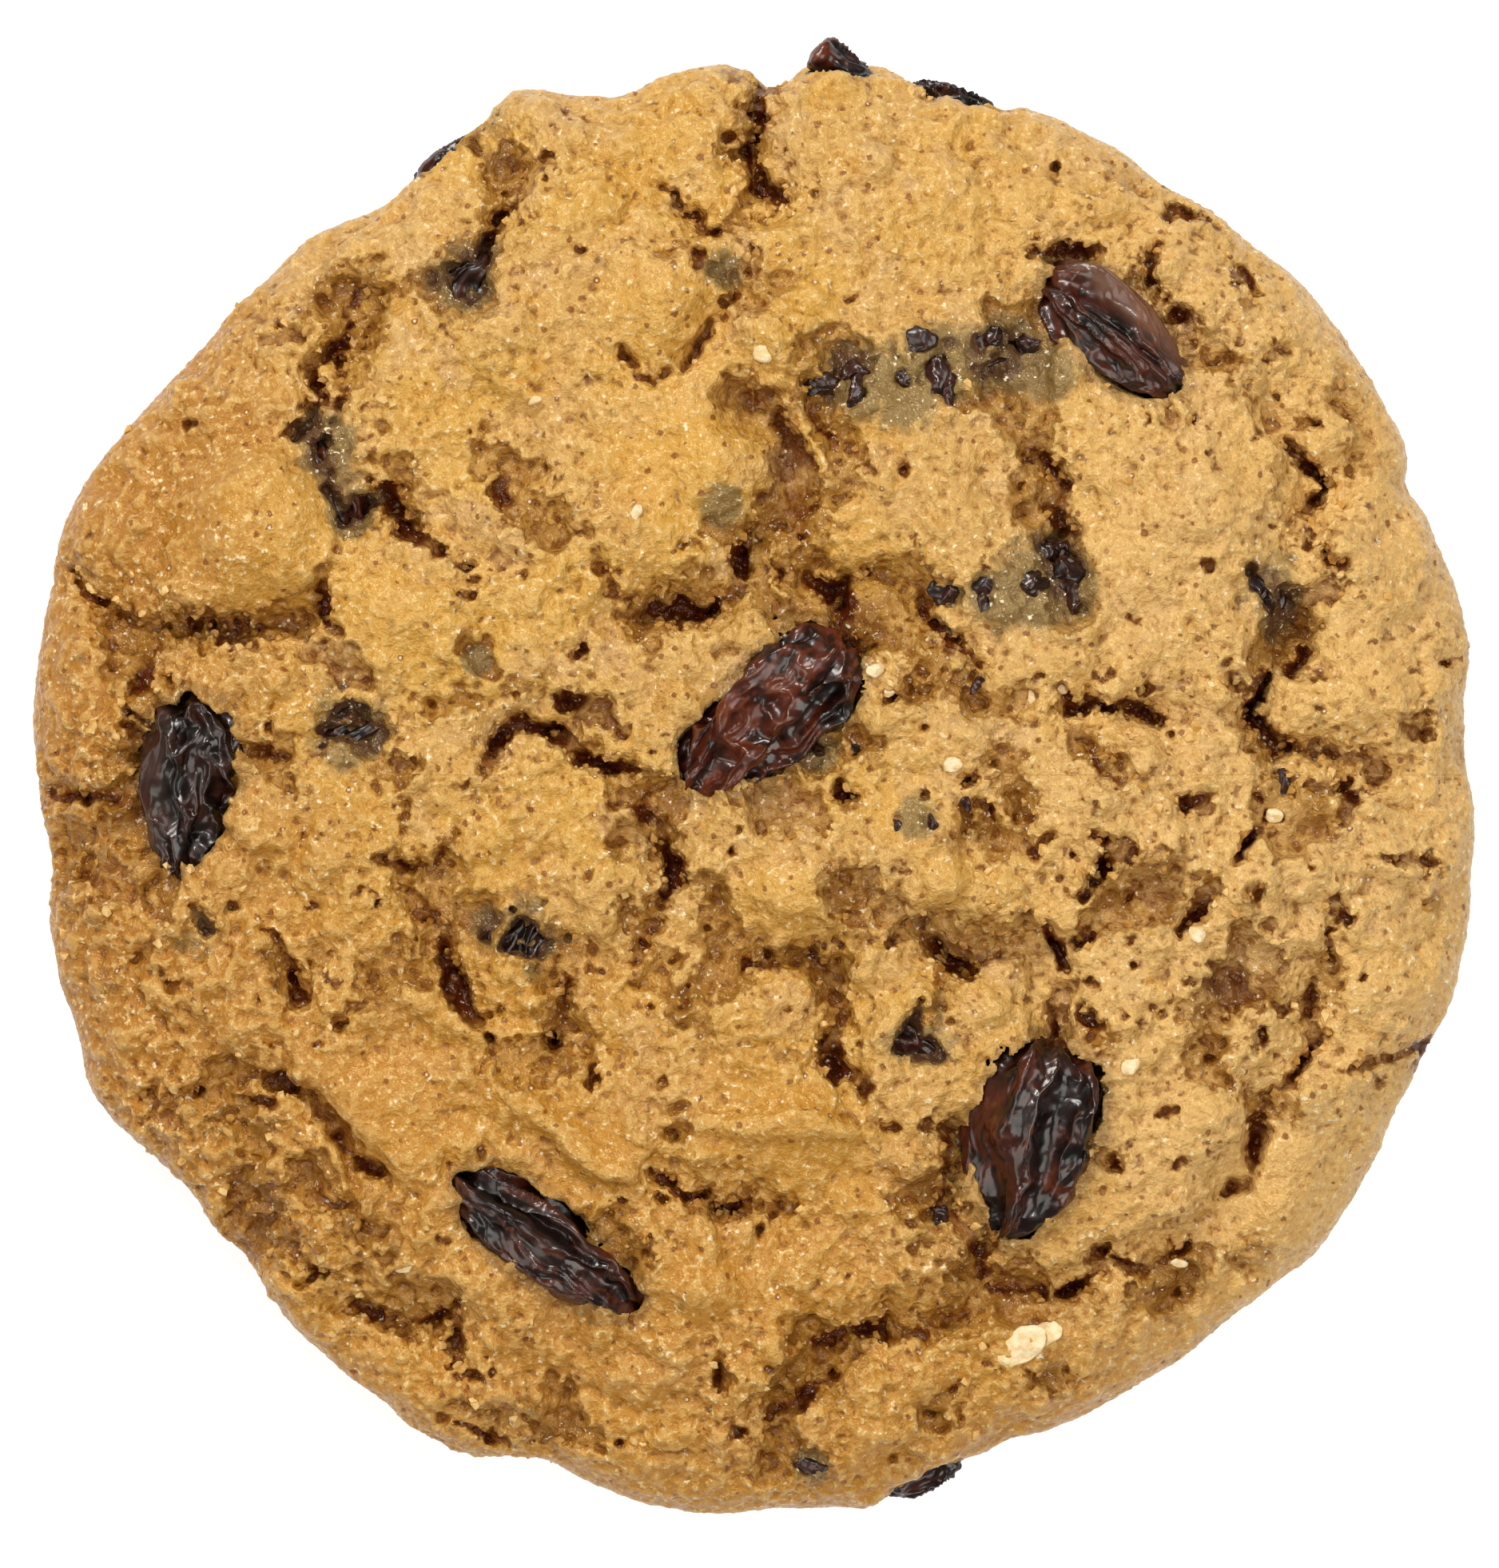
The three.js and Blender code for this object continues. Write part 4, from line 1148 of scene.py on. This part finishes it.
def raisinMaterial():
    material, tree, shader = newMaterial("raisinSkin")
    at = objectPlace(tree)
    warmth = attribute(tree, "warmth")
    fold = attribute(tree, "fold")
    red = mixColour(tree, warmth, srgb(42, 18, 13), srgb(98, 40, 18))
    skin = mixColour(tree, ramp(tree, noise(tree, at, 3.5 * mm, 3), 0.35, 0.65), srgb(26, 10, 8), red)
    # painted light on the crests of the folds
    litRidge = mixColour(tree, warmth, srgb(62, 36, 30), srgb(128, 70, 44))
    skin = mixColour(tree, ramp(tree, fold, 0.3, 0.05, 0, 0.6), skin, litRidge)
    # painted shade, near black, in the creases between the folds
    creaseShade = ramp(tree, fold, 0.5, 1.1, 0, 0.85)
    # painted sheen on the smooth upper side
    copper = times(tree, attribute(tree, "copper"), 0.8)
    skin = paint(tree, skin, (creaseShade, (9, 3, 2)), (copper, (146, 106, 84)))
    setSocket(tree, shader.inputs["Base Color"], skin)
    setSocket(tree, shader.inputs["Roughness"], ramp(tree, noise(tree, at, 1.2 * mm, 2), 0.3, 0.7, 0.2, 0.38))
    shader.inputs["Coat Weight"].default_value = 0.25
    shader.inputs["Coat Roughness"].default_value = 0.06
    fineBump(tree, shader, noise(tree, at, 0.4 * mm, 2), 0.05 * mm, 0.3)
    return material


def buildRaisins():
    skin = raisinMaterial()
    for name in raisinLooks:
        piece = copyOfNode(name, name + "Skin")
        slimRaisin(piece, name)
        applyModifier(piece, "REMESH", mode="VOXEL", voxel_size=raisinMake["voxel"])
        applyModifier(piece, "SMOOTH", factor=0.5, iterations=6)
        raisinFolds(piece, name)
        finishPiece(piece, skin, "raisin", name)
    return skin


# Small pieces on the dough: x, y, length and width in mm, turn in degrees

raisinBits = [
    (4.2, 22.5, 2.0, 1.1, 0), (6.2, 23.0, 1.6, 1.4, 0), (6.1, 22, 0.7, 1.5, 0), (8.9, 22.9, 1.0, 0.9, 20),
    (9.8, 25, 1.5, 1.2, -10), (10.8, 22.9, 1.1, 2, 10), (11.5, 22, 0.7, 2, -5), (13.7, 25.2, 1.4, 1.1, 20),
    (16.1, 24.9, 1.2, 1, 0), (16.8, 27, 0.9, 1.2, 0), (11.3, 10.6, 1.6, 1.1, -10), (13.6, 11.2, 1.4, 1.5, 0),
    (13.4, 10.1, 0.6, 1.2, 0), (16.3, 11.2, 1.3, 1.3, 0), (18.3, 11.6, 1.4, 1.7, 30),
    (18.7, 10.2, 0.8, 1.7, -5), (16.9, 13.1, 1.2, 1.1, 0), (18, 13, 1, 0.8, 0), (4, 1.4, 0.5, 0.6, 0),
    (5.9, 1.45, 0.5, 0.7, 0), (8.4, -2.7, 0.5, 0.6, 0), (10.4, -2.7, 0.5, 0.7, 0), (12.4, -1.6, 0.5, 0.7, 20),
    (11, -25.3, 0.9, 1.1, 10), (30.8, -0.3, 0.5, 1.6, 10), (3.5, -39.9, 1.6, 0.8, -10),
    (13, 5.3, 1.1, 0.4, 50),
]
paleBits = [
    (7.2, 6.1, 0.95, 0.55, 20), (11.6, 0.7, 0.85, 0.7, 0), (0.8, 24.3, 1, 0.9, 10), (25.7, -9.1, 0.9, 0.8, 0),
    (21.9, -16.7, 0.9, 0.7, 30), (30.2, -2.3, 0.8, 0.7, 0), (-6.5, 15.2, 0.7, 0.4, 60),
    (-20, -28.4, 0.8, 0.4, 15), (16.2, 4.6, 0.8, 0.35, 100), (-12.4, 21.6, 0.7, 0.35, 40),
    (24.8, -28.2, 0.8, 0.4, -20), (15.6, -32.9, 2.6, 1.5, 34), (17, -32.2, 1.6, 1.1, 10),
    (7.9, 4.8, 0.6, 0.5, 0), (18, 5, 0.6, 0.5, 0),
]


def bitDimple(x, y, length, width, turn):
    # a shallow hole in the dough for a bit, as a kind of crack of its own
    long, half = max(length, width), min(length, width) / 2
    angle = math.radians(turn if length >= width else turn + 90)
    reach = Vector((math.cos(angle), math.sin(angle))) * max(0.05, long / 2 - half)
    route = [(x - reach.x, y - reach.y), (x + reach.x, y + reach.y)]
    return {"deep": 0.75, "half": half + 0.12, "routes": [route]}


def bitsOnDough(name, bits, dough, thick, rise, material, slot, folds):
    # each bit is a flattened ball laid on the dough, then all are joined and wrinkled
    bpy.ops.mesh.primitive_ico_sphere_add(subdivisions=4, radius=0.5, location=(0, 0, 0))
    start = bpy.context.object
    placed = []
    for x, y, length, width, turn in bits:
        spot = place(x, y)
        hit, slope = topAt(dough, spot)
        size = Vector((length * 1.3, width * 1.3, min(length, width, 1) * thick)) * mm
        tilt = Vector((0, 0, 1)).rotation_difference(slope.lerp(Vector((0, 0, 1)), 0.5)).to_matrix().to_4x4()
        bit = start.copy()
        bit.data = start.data.copy()
        scene.collection.objects.link(bit)
        lie = Matrix.Translation(hit + Vector((0, 0, rise * mm))) @ tilt
        bit.data.transform(lie @ Matrix.Rotation(math.radians(turn), 4, "Z") @ Matrix.Diagonal((*size, 1)))
        placed.append(bit)
    bpy.data.objects.remove(start)
    piece = joinPieces(placed)
    piece.name = name
    tree, geometry, position = shapeTree(name + "Folds")
    geometry = movePoints(tree, geometry, shiver(tree, position, 1.0 * mm, folds * mm, 2))
    # fold here too gives painted light on crests and painted shade in creases
    geometry = store(tree, geometry, "fold", billow(tree, position, 0.8 * mm, 1))
    geometry = store(tree, geometry, "warmth", 0.15)
    geometry = store(tree, geometry, "copper", 0.0)
    applyShape(piece, tree, geometry)
    finishPiece(piece, material, slot)


def oatMaterial():
    material, tree, shader = newMaterial("paleOat")
    at = objectPlace(tree)
    colour = mottled(tree, at, 0.5 * mm, 3, (238, 206, 146), (250, 232, 192))
    setSocket(tree, shader.inputs["Base Color"], colour)
    shader.inputs["Roughness"].default_value = 0.4
    fineBump(tree, shader, noise(tree, at, 0.2 * mm, 3), 0.06 * mm)
    return material


# Stage, light and camera

stageMake = {
    "floorSize": 0.9,
    "pixelsPerMm": 21.45,
    "pictureLong": 1962,
    "lens": 200,
    "aim": (-0.05, -0.44),
    "outlineHeight": 4.3,
}

# Soft lights: place and size in metres, and power
lights = {
    "windowLight": ((-0.2, 0.48, 0.38), 0.2, 2.15),
    "glintLight": ((-0.07, 0.17, 0.48), 0.05, 0.5),
    "rightFill": ((0.3, -0.06, 0.46), 0.35, 1.3),
    "leftFill": ((-0.3, -0.2, 0.42), 0.35, 0.9),
}


def buildStage():
    bpy.ops.mesh.primitive_plane_add(size=stageMake["floorSize"], location=(0, 0, 0))
    floor = bpy.context.object
    floor.name = "floor"
    material, _, shader = newMaterial("palePaper")
    shader.inputs["Base Color"].default_value = (0.3, 0.3, 0.3, 1)
    shader.inputs["Roughness"].default_value = 0.9
    shader.inputs["Emission Color"].default_value = (1, 1, 1, 1)
    shader.inputs["Emission Strength"].default_value = 0.86
    floor.data.materials.append(material)
    world = bpy.data.worlds.new("softRoom")
    world.use_nodes = True
    world.node_tree.nodes["Background"].inputs["Color"].default_value = (1, 0.94, 0.86, 1)
    world.node_tree.nodes["Background"].inputs["Strength"].default_value = 0.14
    scene.world = world
    scene.view_settings.view_transform = "Standard"


def addSoftLight(name, at, size, power):
    bpy.ops.object.light_add(type="AREA", location=at)
    light = bpy.context.object
    light.name = name
    light.data.size = size
    light.data.energy = power
    light.data.color = (1, 0.96, 0.89)
    light.rotation_euler = (-Vector(at)).to_track_quat("-Z", "Y").to_euler()


def buildCamera():
    make = stageMake
    data = bpy.data.cameras.new("camera")
    camera = bpy.data.objects.new("camera", data)
    scene.collection.objects.link(camera)
    data.lens = make["lens"]
    data.sensor_width = 36
    longSide = make["pictureLong"] / make["pixelsPerMm"] * mm
    distance = longSide * data.lens / data.sensor_width
    camera.location = place(*make["aim"], make["outlineHeight"]) + Vector((0, 0, distance))
    data.clip_start = 0.01
    scene.camera = camera


deselectAll()
buildCamera()
buildStage()
for name, light in lights.items():
    addSoftLight(name, *light)
dough = buildDough()
buildCrumbs(dough)
raisinSkin = buildRaisins()
bitsOnDough("raisinBits", raisinBits, dough, 0.9, 0.06, raisinSkin, "raisin", 0.24)
bitsOnDough("oatBits", paleBits, dough, 0.5, 0.1, oatMaterial(), "dough", 0.12)
cutInQuarters(dough)
